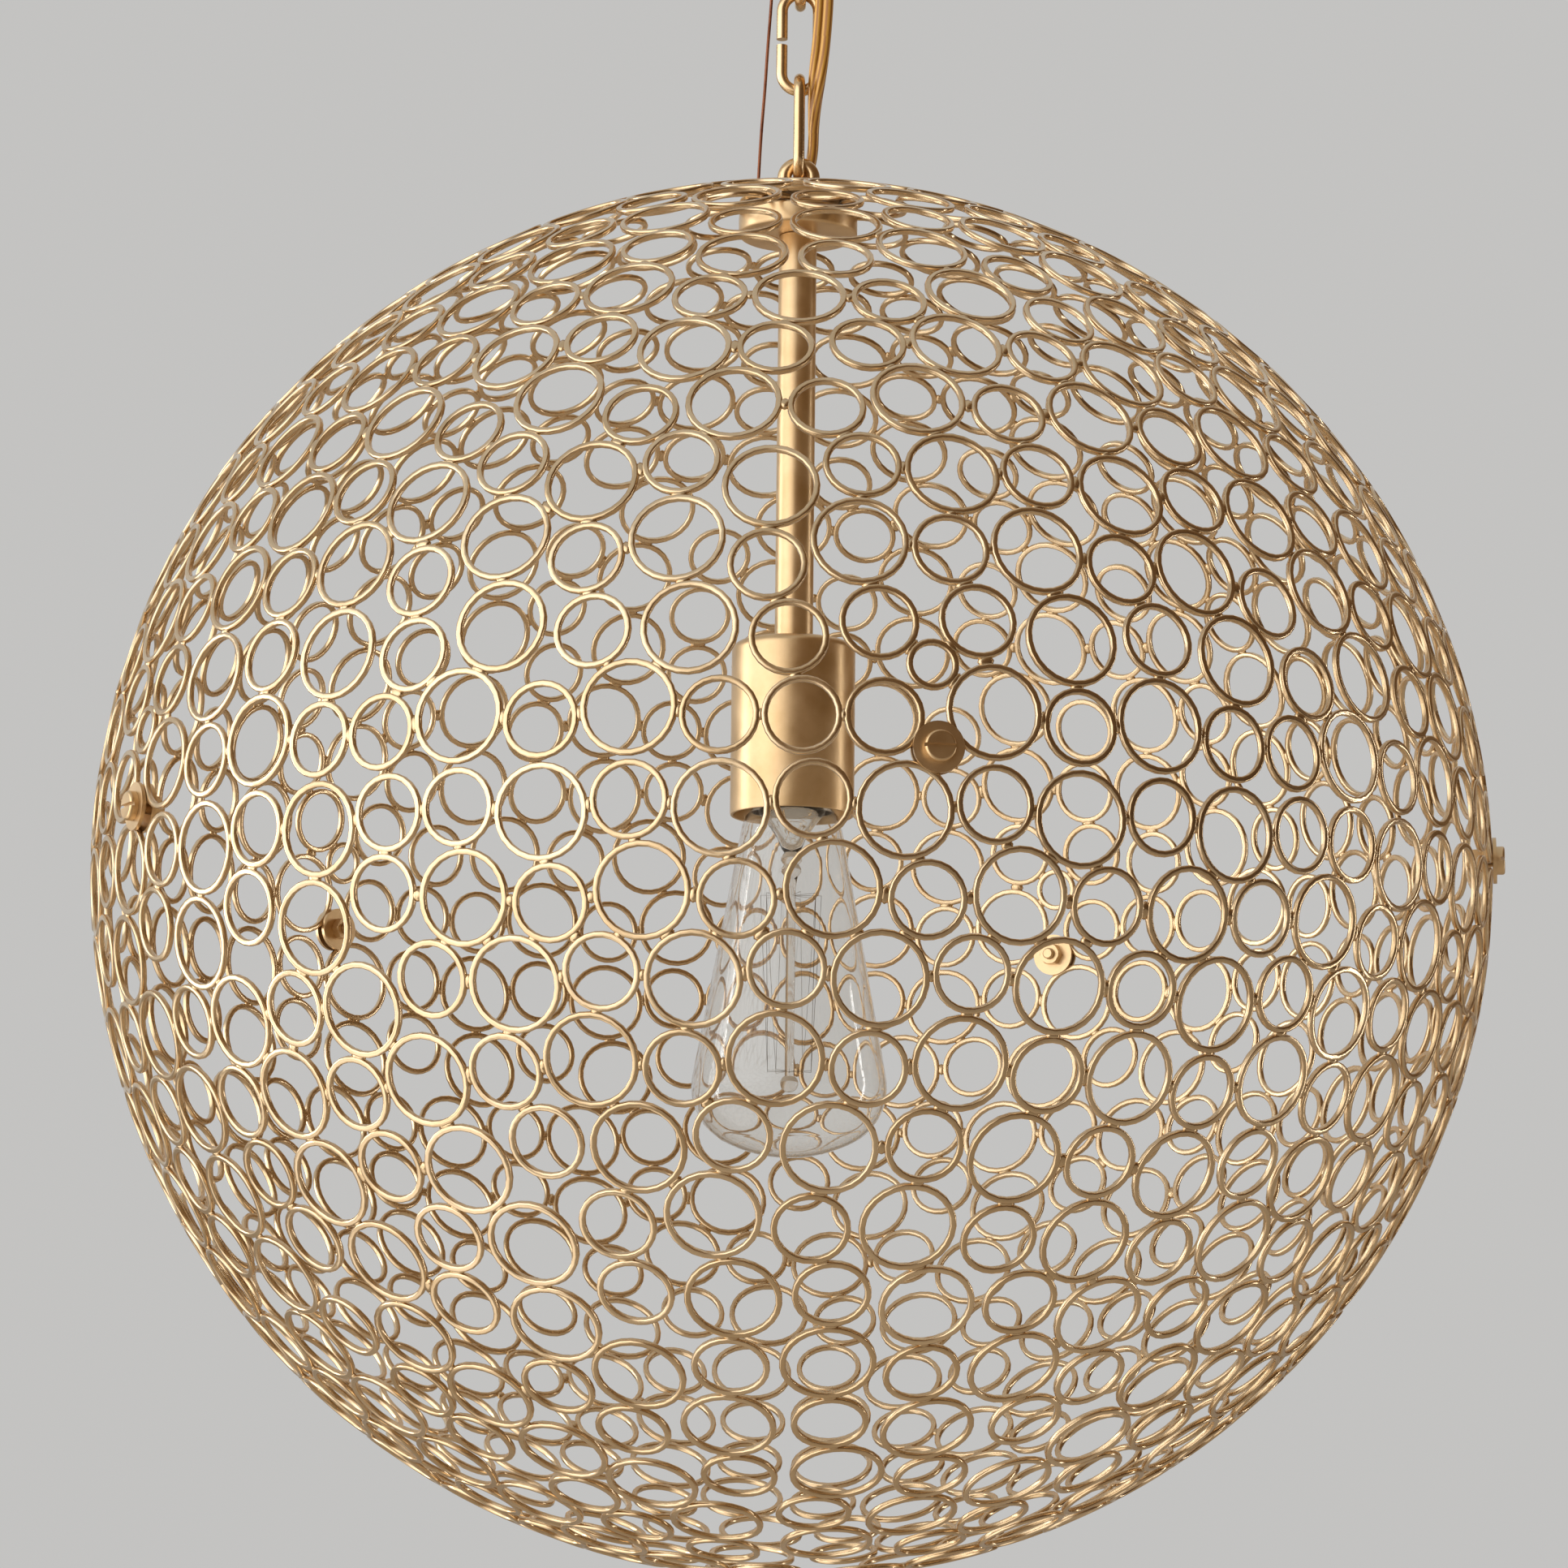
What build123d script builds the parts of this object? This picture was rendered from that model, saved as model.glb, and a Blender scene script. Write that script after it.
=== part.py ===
from build123d import *
import math
import os

# Millimetres. The origin is the middle of the ceiling plane, +Z is up and the light hangs below it.
# Longitude 0 faces -Y, and grows towards +X.

# Globe shade of welded wire rings
globe_diameter = 457.2
wire_diameter = 2.0
large_ring_od = 28.6
small_ring_od = 23.2
filler_ring_od = 15.4
weld_gap = 0.2
seam_gap = 0.8
filler_shift_deg = 0.5
filler_side_share = 0.75
pair_room = 2.07
small_room = 1.05
upper_row_lead_deg = [4.9, -1.9, 10.4, 6.5, 0.2, -6.3, 5.0, -10.4, 10.9, 1.4, 6.6]
upper_row_odd = [0, 0, 0, 1, 0, 0, 0, 0, 0, 0, 0]
lower_row_lead_deg = [3.0, -7.2, -1.1, 3.3, 10.6, -5.2, 4.5, -7.3, 7.9, -14.4, 11.2, -12.0]
lower_row_odd = [0, 0, 0, 0, 0, 0, 0, 0, 0, 0, 0, 1]

# Clamps that hold the two half globes together
clamp_count = 5
clamp_lead_deg = 10.4
clamp_height = 3.0
washer_diameter = 15.0
washer_thickness = 1.2
washer_bite = 1.6
clamp_clearance = 0.05
screw_diameter = 4.0
screw_head_diameter = 9.2
screw_head_height = 2.6
screw_slot_width = 1.1
screw_slot_depth = 1.3
screw_tail = 1.8
nut_flats = 7.0
nut_height = 3.2
lower_ring_lead_deg = -2.3

# Ceiling fitting
canopy_diameter = 127.0
canopy_depth = 26.0
canopy_wall = 1.2
canopy_corner = 12.0
canopy_rim_lip = 4.0
crossbar_length = 104.0
crossbar_width = 16.0
crossbar_thickness = 2.0
box_screw_spacing = 88.9
box_slot_width = 4.6
box_slot_length = 14.0
nipple_diameter = 10.2
nipple_bore = 6.6
thread_clearance = 0.1
lock_nut_flats = 15.0
lock_nut_height = 4.0
collar_diameter = 31.0
collar_height = 8.0
shoulder_diameter = 20.0
shoulder_wall = 1.6
shoulder_height_in_canopy = 8.0
chamber_height = 6.0
canopy_loop_floor = 4.0
canopy_loop_gap = 1.6
canopy_loop_inside = 19.0
loop_bar = 4.0
loop_leg = 2.0
seat_gap = 0.05
hook_gap = 0.1

# Chain
link_length = 38.0
link_width = 16.0
link_wire = 3.8
link_seam = 2.2

# Hang loop and top plates
hang_loop_width = 14.4
hang_loop_bar = 4.8
hang_loop_leg = 4.1
hang_flange_diameter = 24.0
hang_flange_height = 3.8
plate_diameter = 40.0
plate_outer_thickness = 2.1
plate_inner_thickness = 7.2
plate_edge_chamfer = 0.8
plate_clearance = 0.15

# Stem and socket
rod_diameter = 10.2
rod_bore = 6.6
rod_in_flange = 3.0
stem_diameter = 12.7
stem_wall = 0.9
stem_length = 140.0
cup_diameter = 41.0
cup_height = 58.0
cup_wall = 1.2
cup_shoulder = 3.0
cup_nut_flats = 14.0
cup_nut_height = 4.0
socket_diameter = 34.0
socket_top_gap = 4.5
socket_height = 42.0
socket_rod_depth = 6.0
socket_bore = 29.2
socket_bore_depth = 24.0
shell_wall = 0.6
shell_height = 22.0
contact_diameter = 9.0
contact_thickness = 1.0

# Bulb
bulb_diameter = 64.0
bulb_length = 142.0
bulb_base_diameter = 26.3
bulb_base_wall = 0.5
bulb_base_height = 22.0
bulb_base_shoulder = 3.0
bulb_base_end_diameter = 19.0
bulb_insulator_height = 2.6
bulb_contact_diameter = 9.5
bulb_contact_height = 2.2
bulb_neck_diameter = 32.8
bulb_neck_height = 5.4
bulb_corner_radius = 20.0
bulb_crown_radius = 46.0
glass_wall = 0.8
mount_flare_diameter = 22.0
mount_press_diameter = 7.0
mount_press_height = 22.0
mount_rod_diameter = 3.0
mount_rod_length = 68.0
mount_button_diameter = 6.0
filament_wire = 0.5
filament_strands = 10
filament_top_radius = 10.0
filament_bottom_radius = 7.5
filament_top_drop = 6.0
filament_height = 58.0

# Cord and ground wire
cord_diameter = 4.4
cord_hole = 5.4
cord_top_x = 6.2
cord_top_y = -1.5
cord_bottom_x = 1.5
cord_bottom_y = 8.3
cord_start_inset = 0.5
cord_exit_run = 2.5
cord_entry_run = 2.0
cord_end_lift = 1.0
cord_arc_share = 0.45
ground_diameter = 1.1
ground_hole = 2.0
ground_top_x = -6.8
ground_top_y = 1.0
ground_screw_x = -12.6
ground_screw_y = -8.6
ground_screw_head = 6.4
ground_screw_head_height = 2.4
ground_screw_shank = 3.0
ground_screw_lift = 1.5

# Levels from the ceiling down to the middle of the globe
wire_radius = wire_diameter / 2
canopy_bottom = -canopy_depth
shoulder_top = canopy_bottom + shoulder_height_in_canopy
collar_bottom = canopy_bottom - seat_gap - collar_height
chamber_top = collar_bottom + chamber_height
floor_top = collar_bottom - canopy_loop_gap
floor_bottom = floor_top - canopy_loop_floor
canopy_loop_radius = (canopy_loop_inside + loop_bar) / 2
canopy_loop_centre = floor_bottom - loop_leg
pivot_top = canopy_loop_centre - canopy_loop_radius
link_pitch = link_length - 2 * link_wire - hook_gap
top_link_centre = pivot_top + loop_bar / 2 + hook_gap + link_wire - link_length / 2
middle_link_centre = top_link_centre - link_pitch
bottom_link_centre = middle_link_centre - link_pitch
link_reach = link_length / 2 - link_wire / 2
pivot_middle = top_link_centre - link_reach
pivot_bottom = middle_link_centre - link_reach
pivot_globe = bottom_link_centre - link_reach
hang_bar_bottom = pivot_globe + link_wire / 2 + hook_gap
hang_loop_radius = (hang_loop_width - hang_loop_bar) / 2
hang_loop_centre = hang_bar_bottom - hang_loop_radius + hang_loop_bar / 2
flange_top = hang_loop_centre - hang_loop_leg
flange_bottom = flange_top - hang_flange_height
outer_plate_top = flange_bottom - seat_gap
outer_plate_bottom = outer_plate_top - plate_outer_thickness
globe_centre = outer_plate_bottom - plate_clearance - globe_diameter / 2

# Levels below the top plates
wire_sphere = globe_diameter / 2 - wire_radius
plate_edge = plate_diameter / 2
inner_sphere = wire_sphere - wire_radius
inner_plate_top = globe_centre + math.sqrt(inner_sphere**2 - plate_edge**2) - plate_clearance
inner_plate_bottom = inner_plate_top - plate_inner_thickness
stem_top = inner_plate_bottom - seat_gap
cup_top = stem_top - stem_length - seat_gap
cup_bottom = cup_top - cup_height
cup_nut_top = cup_top - cup_wall - seat_gap
socket_top = cup_nut_top - cup_nut_height - socket_top_gap
socket_bottom = socket_top - socket_height
socket_ceiling = socket_bottom + socket_bore_depth
rod_top = flange_bottom + rod_in_flange - seat_gap
rod_bottom = socket_top - socket_rod_depth + seat_gap
contact_bottom = socket_ceiling - seat_gap - contact_thickness
bulb_top = contact_bottom - seat_gap
bulb_contact_bottom = bulb_top - bulb_contact_height
bulb_insulator_bottom = bulb_contact_bottom - seat_gap - bulb_insulator_height
bulb_base_top = bulb_insulator_bottom - seat_gap
bulb_base_bottom = bulb_base_top - bulb_base_height
bulb_glass_top = bulb_base_bottom - seat_gap
bulb_tip = bulb_top - bulb_length


def disc(diameter, bottom, top, x=0, y=0):
    """Round bar from one level to another."""
    bar = Cylinder(diameter / 2, top - bottom, align=(Align.CENTER, Align.CENTER, Align.MIN))
    return Pos(x, y, bottom) * bar


def tube(outer, inner, bottom, top):
    """Round tube from one level to another."""
    return disc(outer, bottom, top) - disc(inner, bottom, top)


def turned(points):
    """Solid turned about Z from an outline of radius and level pairs."""
    return revolve(make_face(Polyline(*[(r, 0, z) for r, z in points], close=True)), Axis.Z)


def hex_nut(flats, bore, bottom, top):
    """Hexagon nut with both faces chamfered by a cone."""
    height = top - bottom
    corner = flats / math.sqrt(3)
    body = extrude(RegularPolygon(corner, 6), height)
    rounder = Cylinder(corner, height, align=(Align.CENTER, Align.CENTER, Align.MIN))
    body = body & chamfer(rounder.edges().filter_by(GeomType.CIRCLE), (corner - flats / 2) * 0.8)
    return Pos(0, 0, bottom) * (body - Cylinder(bore / 2, 3 * height))


# Wire rings
def ring_reach(od):
    """Angle from a ring's middle to the middle of its wire, seen from the middle of the globe."""
    return math.asin((od / 2 - wire_radius) / wire_sphere)


wire_angle = 2 * math.asin((wire_diameter + weld_gap) / (2 * wire_sphere))


def spacing(od, other_od):
    """Least angle between the middles of two neighbouring rings, in degrees."""
    return math.degrees(ring_reach(od) + ring_reach(other_od) + wire_angle)


def settled(lon, od, placed):
    """Least latitude at which a ring at this longitude clears the rings that are placed already."""
    lat = 0.0
    for other_lon, other_lat, other_od in placed:
        rise = math.sin(math.radians(other_lat))
        run = math.cos(math.radians(other_lat)) * math.cos(math.radians(lon - other_lon))
        nearest = math.cos(math.radians(spacing(od, other_od))) / math.hypot(rise, run)
        if run > 0 and nearest < 1:
            lat = max(lat, math.degrees(math.atan2(rise, run) + math.acos(nearest)))
    return lat


def rim_latitude(od, edge_height):
    """Latitude of a ring whose wire stands with its lowest edge at a height above the equator."""
    return math.degrees(ring_reach(od) + math.asin((edge_height + wire_radius) / wire_sphere))


def spread(sizes, first, last, closed):
    """Longitudes of a run of rings between two longitudes, with the spare room shared evenly."""
    steps = [spacing(a, b) for a, b in zip(sizes, sizes[1:])]
    if closed:
        steps.append(spacing(sizes[-1], sizes[0]))
    spare = (last - first - sum(steps)) / len(steps)
    places = [first]
    for step in steps[: len(sizes) - 1]:
        places.append(places[-1] + step + spare)
    return places


def sector_sizes(arc, closed):
    """Sizes of the rings that fill one clamp's sector best: large and small by turns, then small ones."""
    best = None
    pair_step = spacing(large_ring_od, small_ring_od)
    small_step = spacing(small_ring_od, small_ring_od)
    for pairs in range(2, int(arc / (2 * pair_step)) + 2):
        paired = pair_step * (2 * pairs if closed else 2 * pairs - 1)
        spare_small = int((arc - paired) / small_step)
        if arc >= paired and spare_small <= pairs:
            left = arc - paired - spare_small * small_step
            if best is None or left < best[0]:
                best = (left, pairs, spare_small)
    pairs, spare_small = best[1], best[2]
    early = (pairs + 1) // 2
    in_middle = spare_small - spare_small * 2 // 3
    sizes = [large_ring_od, small_ring_od] * early + [small_ring_od] * in_middle
    sizes += [large_ring_od, small_ring_od] * (pairs - early)
    return sizes + [small_ring_od] * (spare_small - in_middle)


def clamp_side(od):
    """Longitude from a clamp to a ring of the first upper row that its washers grip."""
    reach = od / 2 + washer_diameter / 2 - washer_bite
    rise = od / 2 - clamp_height
    return math.degrees(math.sqrt(reach**2 - rise**2) / wire_sphere)


sector = 360 / clamp_count
clamp_lons = [clamp_lead_deg + sector * i for i in range(clamp_count)]


def upper_rim():
    """First upper row: rings that stand on the seam, with a gap for each clamp."""
    first = clamp_side(large_ring_od)
    last = sector - clamp_side(small_ring_od)
    sizes = sector_sizes(last - first, False)
    rings = []
    for clamp in clamp_lons:
        for lon, od in zip(spread(sizes, first, last, False), sizes):
            rings.append((clamp + lon, rim_latitude(od, 0), od))
    return rings


def upper_second(rim):
    """Second upper row: starts and ends with small rings beside each filler ring."""
    half_gap = spacing(small_ring_od, filler_ring_od) * filler_side_share
    arc = sector - 2 * half_gap
    pairs = int(arc / (pair_room * spacing(large_ring_od, small_ring_od)))
    sizes = [small_ring_od] + [large_ring_od, small_ring_od] * pairs
    taken = sum(spacing(a, b) for a, b in zip(sizes, sizes[1:]))
    if arc - taken > small_room * spacing(small_ring_od, small_ring_od):
        sizes.append(small_ring_od)
    first = half_gap - filler_shift_deg
    rings = []
    for clamp in clamp_lons:
        for lon, od in zip(spread(sizes, first, first + arc, False), sizes):
            place = clamp + lon
            rings.append((place, settled(place, od, rim + filler_places(rim)), od))
    return rings


def filler_places(rim):
    """One smaller ring above each clamp, resting on the two rings beside it."""
    offset = (clamp_side(large_ring_od) - clamp_side(small_ring_od)) / 2 - filler_shift_deg
    return [(c + offset, settled(c + offset, filler_ring_od, rim), filler_ring_od) for c in clamp_lons]


def lower_rim():
    """First lower row: the same run of rings in each sector, with their top edges at the seam."""
    sizes = sector_sizes(sector, True)
    rings = []
    for clamp in clamp_lons:
        first = clamp + lower_ring_lead_deg
        for lon, od in zip(spread(sizes, first, first + sector, True), sizes):
            rings.append((lon, rim_latitude(od, seam_gap), od))
    return rings


def filled_row(lead, odd, before, last):
    """A row of large and small rings by turns, settled on the rows below.

    An odd row starts with two small ones.
    """
    step = spacing(large_ring_od, small_ring_od)
    level = sum(ring[1] for ring in last) / len(last) + step
    around = 360 * math.cos(math.radians(min(level, 90)))
    count = 2 * int(around / (2 * step)) + odd
    while count > 3:
        row = []
        for i in range(count):
            od = small_ring_od if (i + odd) % 2 else large_ring_od
            lon = lead + 360 * i / count
            row.append((lon, settled(lon, od, before + last), od))
        crowded = [a for a, b in zip(row, row[1:] + row[:1]) if apart(a, b) < spacing(a[2], b[2])]
        if not crowded:
            return row
        count -= 2
    return []


def apart(ring, other):
    """Angle between the middles of two rings, in degrees."""
    lon, lat = math.radians(ring[0] - other[0]), math.radians(ring[1])
    other_lat = math.radians(other[1])
    dot = math.sin(lat) * math.sin(other_lat) + math.cos(lat) * math.cos(other_lat) * math.cos(lon)
    return math.degrees(math.acos(min(1, dot)))


def half_globe(rows, leads, odds):
    """All rings of a half globe, from its first rows to the pole."""
    rings = [ring for row in rows for ring in row]
    last = rows[-1]
    before = rows[-2] if len(rows) > 1 else []
    for lead, odd in zip(leads, odds):
        row = filled_row(lead, odd, before, last)
        if not row:
            break
        rings += row
        before, last = last, row
    return rings


def ring_solid(lon, lat, od):
    """One ring of round wire, lying on the globe."""
    east, north = math.radians(lon), math.radians(lat)
    out = Vector(math.cos(north) * math.sin(east), -math.cos(north) * math.cos(east), math.sin(north))
    middle = out * (wire_sphere * math.cos(ring_reach(od))) + Vector(0, 0, globe_centre)
    return Solid.make_torus(od / 2 - wire_radius, wire_radius, Plane(origin=middle, z_dir=out))


def ring_group(rings, od, side):
    return [ring_solid(lon, side * lat, size) for lon, lat, size in rings if size == od]


# Clamps
def at_clamps(solid):
    """Copies of a solid built with Z pointing out of the globe, one at each clamp."""
    lift = math.asin(clamp_height / wire_sphere)
    copies = []
    for lon in clamp_lons:
        east = math.radians(lon)
        out = Vector(math.cos(lift) * math.sin(east), -math.cos(lift) * math.cos(east), math.sin(lift))
        side = Vector(math.cos(east), math.sin(east), 0)
        copies.append(Plane(origin=(0, 0, globe_centre), x_dir=side, z_dir=out).location * solid)
    return copies


outer_washer_face = wire_sphere + wire_radius + clamp_clearance
washer_sag = (washer_diameter / 2) ** 2 / (2 * wire_sphere)
inner_washer_face = wire_sphere - wire_radius - washer_sag - clamp_clearance
head_face = outer_washer_face + washer_thickness + clamp_clearance
nut_face = inner_washer_face - washer_thickness - clamp_clearance
screw_end = nut_face - nut_height - screw_tail


def clamp_screw():
    head = disc(screw_head_diameter, head_face, head_face + screw_head_height)
    head = fillet(head.edges().group_by(Axis.Z)[-1], screw_head_height * 0.3)
    slot_floor = head_face + screw_head_height - screw_slot_depth
    slot = Box(2 * screw_head_diameter, screw_slot_width, 4 * screw_slot_depth)
    slot = Pos(0, 0, slot_floor + 2 * screw_slot_depth) * slot
    shank = disc(screw_diameter, screw_end, head_face)
    return (head - slot) + chamfer(shank.edges().group_by(Axis.Z)[0], screw_diameter / 10)


def washer(low, high):
    return tube(washer_diameter, screw_diameter + 2 * thread_clearance, low, high)


# Ceiling fitting
def crossbar():
    bar = Pos(0, 0, -crossbar_thickness / 2) * Box(crossbar_length, crossbar_width, crossbar_thickness)
    bar = fillet(bar.edges().filter_by(Axis.Z), crossbar_width / 4)
    bar -= Cylinder(nipple_diameter / 2 + thread_clearance, 3 * crossbar_thickness)
    slot = extrude(SlotOverall(box_slot_length, box_slot_width), 2 * crossbar_thickness, both=True)
    for side in (-1, 1):
        bar -= Pos(side * box_screw_spacing / 2, 0, 0) * slot
    return bar


def canopy():
    """Spun dish with a rounded corner, a rolled lip at the ceiling and a hole for the loop's shoulder."""
    outer = canopy_diameter / 2
    hole = shoulder_diameter / 2 + 2 * thread_clearance
    side = outer - canopy_rim_lip
    bend = side - canopy_corner
    floor = canopy_bottom + canopy_wall
    inner_corner = canopy_corner - canopy_wall
    face = make_face(
        [
            Line((hole, canopy_bottom), (bend, canopy_bottom)),
            RadiusArc((bend, canopy_bottom), (side, canopy_bottom + canopy_corner), -canopy_corner),
            Line((side, canopy_bottom + canopy_corner), (side, -canopy_wall)),
            Line((side, -canopy_wall), (outer, -canopy_wall)),
            Line((outer, -canopy_wall), (outer, 0)),
            Line((outer, 0), (side - canopy_wall, 0)),
            Line((side - canopy_wall, 0), (side - canopy_wall, canopy_bottom + canopy_corner)),
            RadiusArc((side - canopy_wall, canopy_bottom + canopy_corner), (bend, floor), inner_corner),
            Line((bend, floor), (hole, floor)),
            Line((hole, floor), (hole, canopy_bottom)),
        ]
    )
    return revolve(Plane.XZ * face, Axis.Z)


def canopy_collar():
    """Ring nut with a rounded rim, screwed up the loop's shoulder against the canopy."""
    top = canopy_bottom - seat_gap
    ring = tube(collar_diameter, shoulder_diameter + 2 * thread_clearance, collar_bottom, top)
    rim = ring.edges().filter_by(GeomType.CIRCLE).sort_by(SortBy.LENGTH)[-2:]
    return fillet(rim, collar_height / 4)


def bail(centre, radius, bar, leg_top):
    """Half ring of round bar in the XZ plane, with two straight legs up to a level."""
    arc = ThreePointArc((radius, 0, centre), (0, 0, centre - radius), (-radius, 0, centre))
    start = (radius, 0, leg_top)
    path = Wire([Line(start, (radius, 0, centre)), arc, Line((-radius, 0, centre), (-radius, 0, leg_top))])
    return sweep(Plane(origin=start, z_dir=(0, 0, -1)) * Circle(bar / 2), path=path)


def canopy_loop():
    """Threaded shoulder with a wire chamber, a floor with two wire holes, and a bail for the chain."""
    body = disc(shoulder_diameter, floor_top, shoulder_top) + disc(
        canopy_loop_inside + 2 * loop_bar + 1, floor_bottom, floor_top
    )
    body -= disc(shoulder_diameter - 2 * shoulder_wall, floor_top, chamber_top)
    body -= disc(nipple_diameter + 2 * thread_clearance, chamber_top, shoulder_top)
    body -= disc(cord_hole, floor_bottom, floor_top, cord_top_x, cord_top_y)
    body -= disc(ground_hole, floor_bottom, floor_top, ground_top_x, ground_top_y)
    return body + bail(canopy_loop_centre, canopy_loop_radius, loop_bar, floor_bottom)


# Chain
def chain_link():
    """One bent wire link in the XZ plane about the origin, with its open seam on the -X side."""
    half = link_width / 2 - link_wire / 2
    straight = link_length / 2 - link_width / 2
    gap = link_seam / 2
    path = Wire(
        [
            Line((-half, 0, gap), (-half, 0, straight)),
            ThreePointArc((-half, 0, straight), (0, 0, straight + half), (half, 0, straight)),
            Line((half, 0, straight), (half, 0, -straight)),
            ThreePointArc((half, 0, -straight), (0, 0, -straight - half), (-half, 0, -straight)),
            Line((-half, 0, -straight), (-half, 0, -gap)),
        ]
    )
    return sweep(Plane(origin=(-half, 0, gap), z_dir=(0, 0, 1)) * Circle(link_wire / 2), path=path)


# Hang loop, plates and stem
def hang_loop():
    """Cast arch that the bottom link passes through, on a round flange that takes the rod and the cord."""
    arch = bail(0, hang_loop_radius, hang_loop_bar, hang_loop_leg)
    arch = Pos(0, 0, hang_loop_centre) * Rot(0, 180, 0) * arch
    flange = disc(hang_flange_diameter, flange_bottom, flange_top)
    flange = fillet(flange.edges().group_by(Axis.Z)[-1], hang_flange_height / 4)
    flange -= disc(rod_diameter + 2 * thread_clearance, flange_bottom, flange_bottom + rod_in_flange)
    flange -= disc(cord_hole, flange_bottom, flange_top, cord_bottom_x, cord_bottom_y)
    return flange + arch


def plate(bottom, top):
    body = tube(plate_diameter, rod_diameter + 2 * thread_clearance, bottom, top)
    rim = body.edges().filter_by(GeomType.CIRCLE).sort_by(SortBy.LENGTH)[-2:]
    return chamfer(rim, plate_edge_chamfer)


def top_plate_outer():
    body = plate(outer_plate_bottom, outer_plate_top)
    body -= disc(cord_hole, outer_plate_bottom, outer_plate_top, cord_bottom_x, cord_bottom_y)
    tapped = ground_screw_shank + 2 * thread_clearance
    return body - disc(tapped, outer_plate_bottom, outer_plate_top, ground_screw_x, ground_screw_y)


def ground_screw():
    """Washer-head screw that traps the ground wire on the outer plate."""
    seat = outer_plate_top + ground_screw_lift
    head = disc(ground_screw_head, seat, seat + ground_screw_head_height, ground_screw_x, ground_screw_y)
    head = fillet(head.edges().group_by(Axis.Z)[-1], ground_screw_head_height / 3)
    return head + disc(ground_screw_shank, outer_plate_bottom, seat, ground_screw_x, ground_screw_y)


def socket_cup():
    """Deep drawn cup with a rounded shoulder, open at the bottom."""
    cup = disc(cup_diameter, cup_bottom, cup_top)
    cup = fillet(cup.edges().group_by(Axis.Z)[-1], cup_shoulder)
    inside = disc(cup_diameter - 2 * cup_wall, cup_bottom, cup_top - cup_wall)
    cup -= fillet(inside.edges().group_by(Axis.Z)[-1], cup_shoulder - cup_wall)
    return cup - disc(rod_diameter + 2 * thread_clearance, cup_bottom, cup_top)


def socket_body():
    """Insulating body that screws on the rod and holds the metal screw shell."""
    body = disc(socket_diameter, socket_bottom, socket_top)
    body = fillet(body.edges().group_by(Axis.Z)[-1], socket_rod_depth / 2)
    body -= disc(socket_bore, socket_bottom, socket_ceiling)
    return body - disc(rod_diameter + 2 * thread_clearance, socket_top - socket_rod_depth, socket_top)


# Bulb
def bulb_outline(skin):
    """Corners of the glass outline, set in from the outside by a skin: neck, corner arc and tip."""
    corner = bulb_corner_radius - skin
    crown = bulb_crown_radius - skin
    tip = bulb_tip + skin
    corner_x = bulb_diameter / 2 - bulb_corner_radius
    corner_z = tip + crown - math.sqrt((crown - corner) ** 2 - corner_x**2)
    neck_x = bulb_neck_diameter / 2 - skin
    neck_z = bulb_glass_top - bulb_neck_height
    across, down = corner_x - neck_x, corner_z - neck_z
    far = math.hypot(across, down)
    turn = math.atan2(down, across) + math.asin(corner / far)
    run = math.sqrt(far**2 - corner**2)
    touch = (neck_x + run * math.cos(turn), neck_z + run * math.sin(turn))
    lean = math.atan2(corner_z - (tip + crown), corner_x)
    blend = (corner_x + corner * math.cos(lean), corner_z + corner * math.sin(lean))
    return (neck_x, neck_z), touch, blend, (0, tip), corner, crown


def bulb_glass():
    """Blown bulb: a short neck, a long taper, a tight corner and a shallow crown."""
    neck, touch, blend, tip, corner, crown = bulb_outline(0)
    in_neck, in_touch, in_blend, in_tip, in_corner, in_crown = bulb_outline(glass_wall)
    rim = bulb_base_diameter / 2
    face = make_face(
        [
            Line((rim, bulb_glass_top), neck),
            Line(neck, touch),
            RadiusArc(touch, blend, corner),
            RadiusArc(blend, tip, crown),
            Line(tip, in_tip),
            RadiusArc(in_tip, in_blend, -in_crown),
            RadiusArc(in_blend, in_touch, -in_corner),
            Line(in_touch, in_neck),
            Line(in_neck, (rim - glass_wall, bulb_glass_top)),
            Line((rim - glass_wall, bulb_glass_top), (rim, bulb_glass_top)),
        ]
    )
    return revolve(Plane.XZ * face, Axis.Z)


def bulb_base():
    """Thin brass screw base, drawn in towards its end."""
    side = bulb_base_diameter / 2
    end = bulb_base_end_diameter / 2
    bend = bulb_base_top - bulb_base_shoulder
    return turned(
        [
            (side, bulb_base_bottom),
            (side, bend),
            (end, bulb_base_top),
            (end - bulb_base_wall, bulb_base_top),
            (side - bulb_base_wall, bend - bulb_base_wall / 2),
            (side - bulb_base_wall, bulb_base_bottom),
        ]
    )


def bulb_insulator():
    foot = bulb_contact_diameter / 2 + bulb_base_wall
    end = bulb_base_end_diameter / 2
    top = bulb_insulator_bottom + bulb_insulator_height
    return turned([(0, bulb_insulator_bottom), (end, bulb_insulator_bottom), (foot, top), (0, top)])


def bulb_contact():
    button = disc(bulb_contact_diameter, bulb_contact_bottom, bulb_top)
    return fillet(button.edges().group_by(Axis.Z)[-1], bulb_contact_height / 2)


mount_top = bulb_glass_top - glass_wall
mount_press_bottom = mount_top - mount_press_height
mount_end = mount_press_bottom - mount_rod_length


def bulb_mount():
    """Glass stem: a flare at the neck, a press, a long rod and a button at its end."""
    flare = mount_flare_diameter / 2
    press = mount_press_diameter / 2
    rod = mount_rod_diameter / 2
    stem = turned(
        [
            (0, mount_top),
            (flare, mount_top),
            (press, mount_top - flare),
            (press, mount_press_bottom),
            (rod, mount_press_bottom - press),
            (rod, mount_end),
            (0, mount_end),
        ]
    )
    return stem + Pos(0, 0, mount_end) * Sphere(mount_button_diameter / 2)


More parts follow.
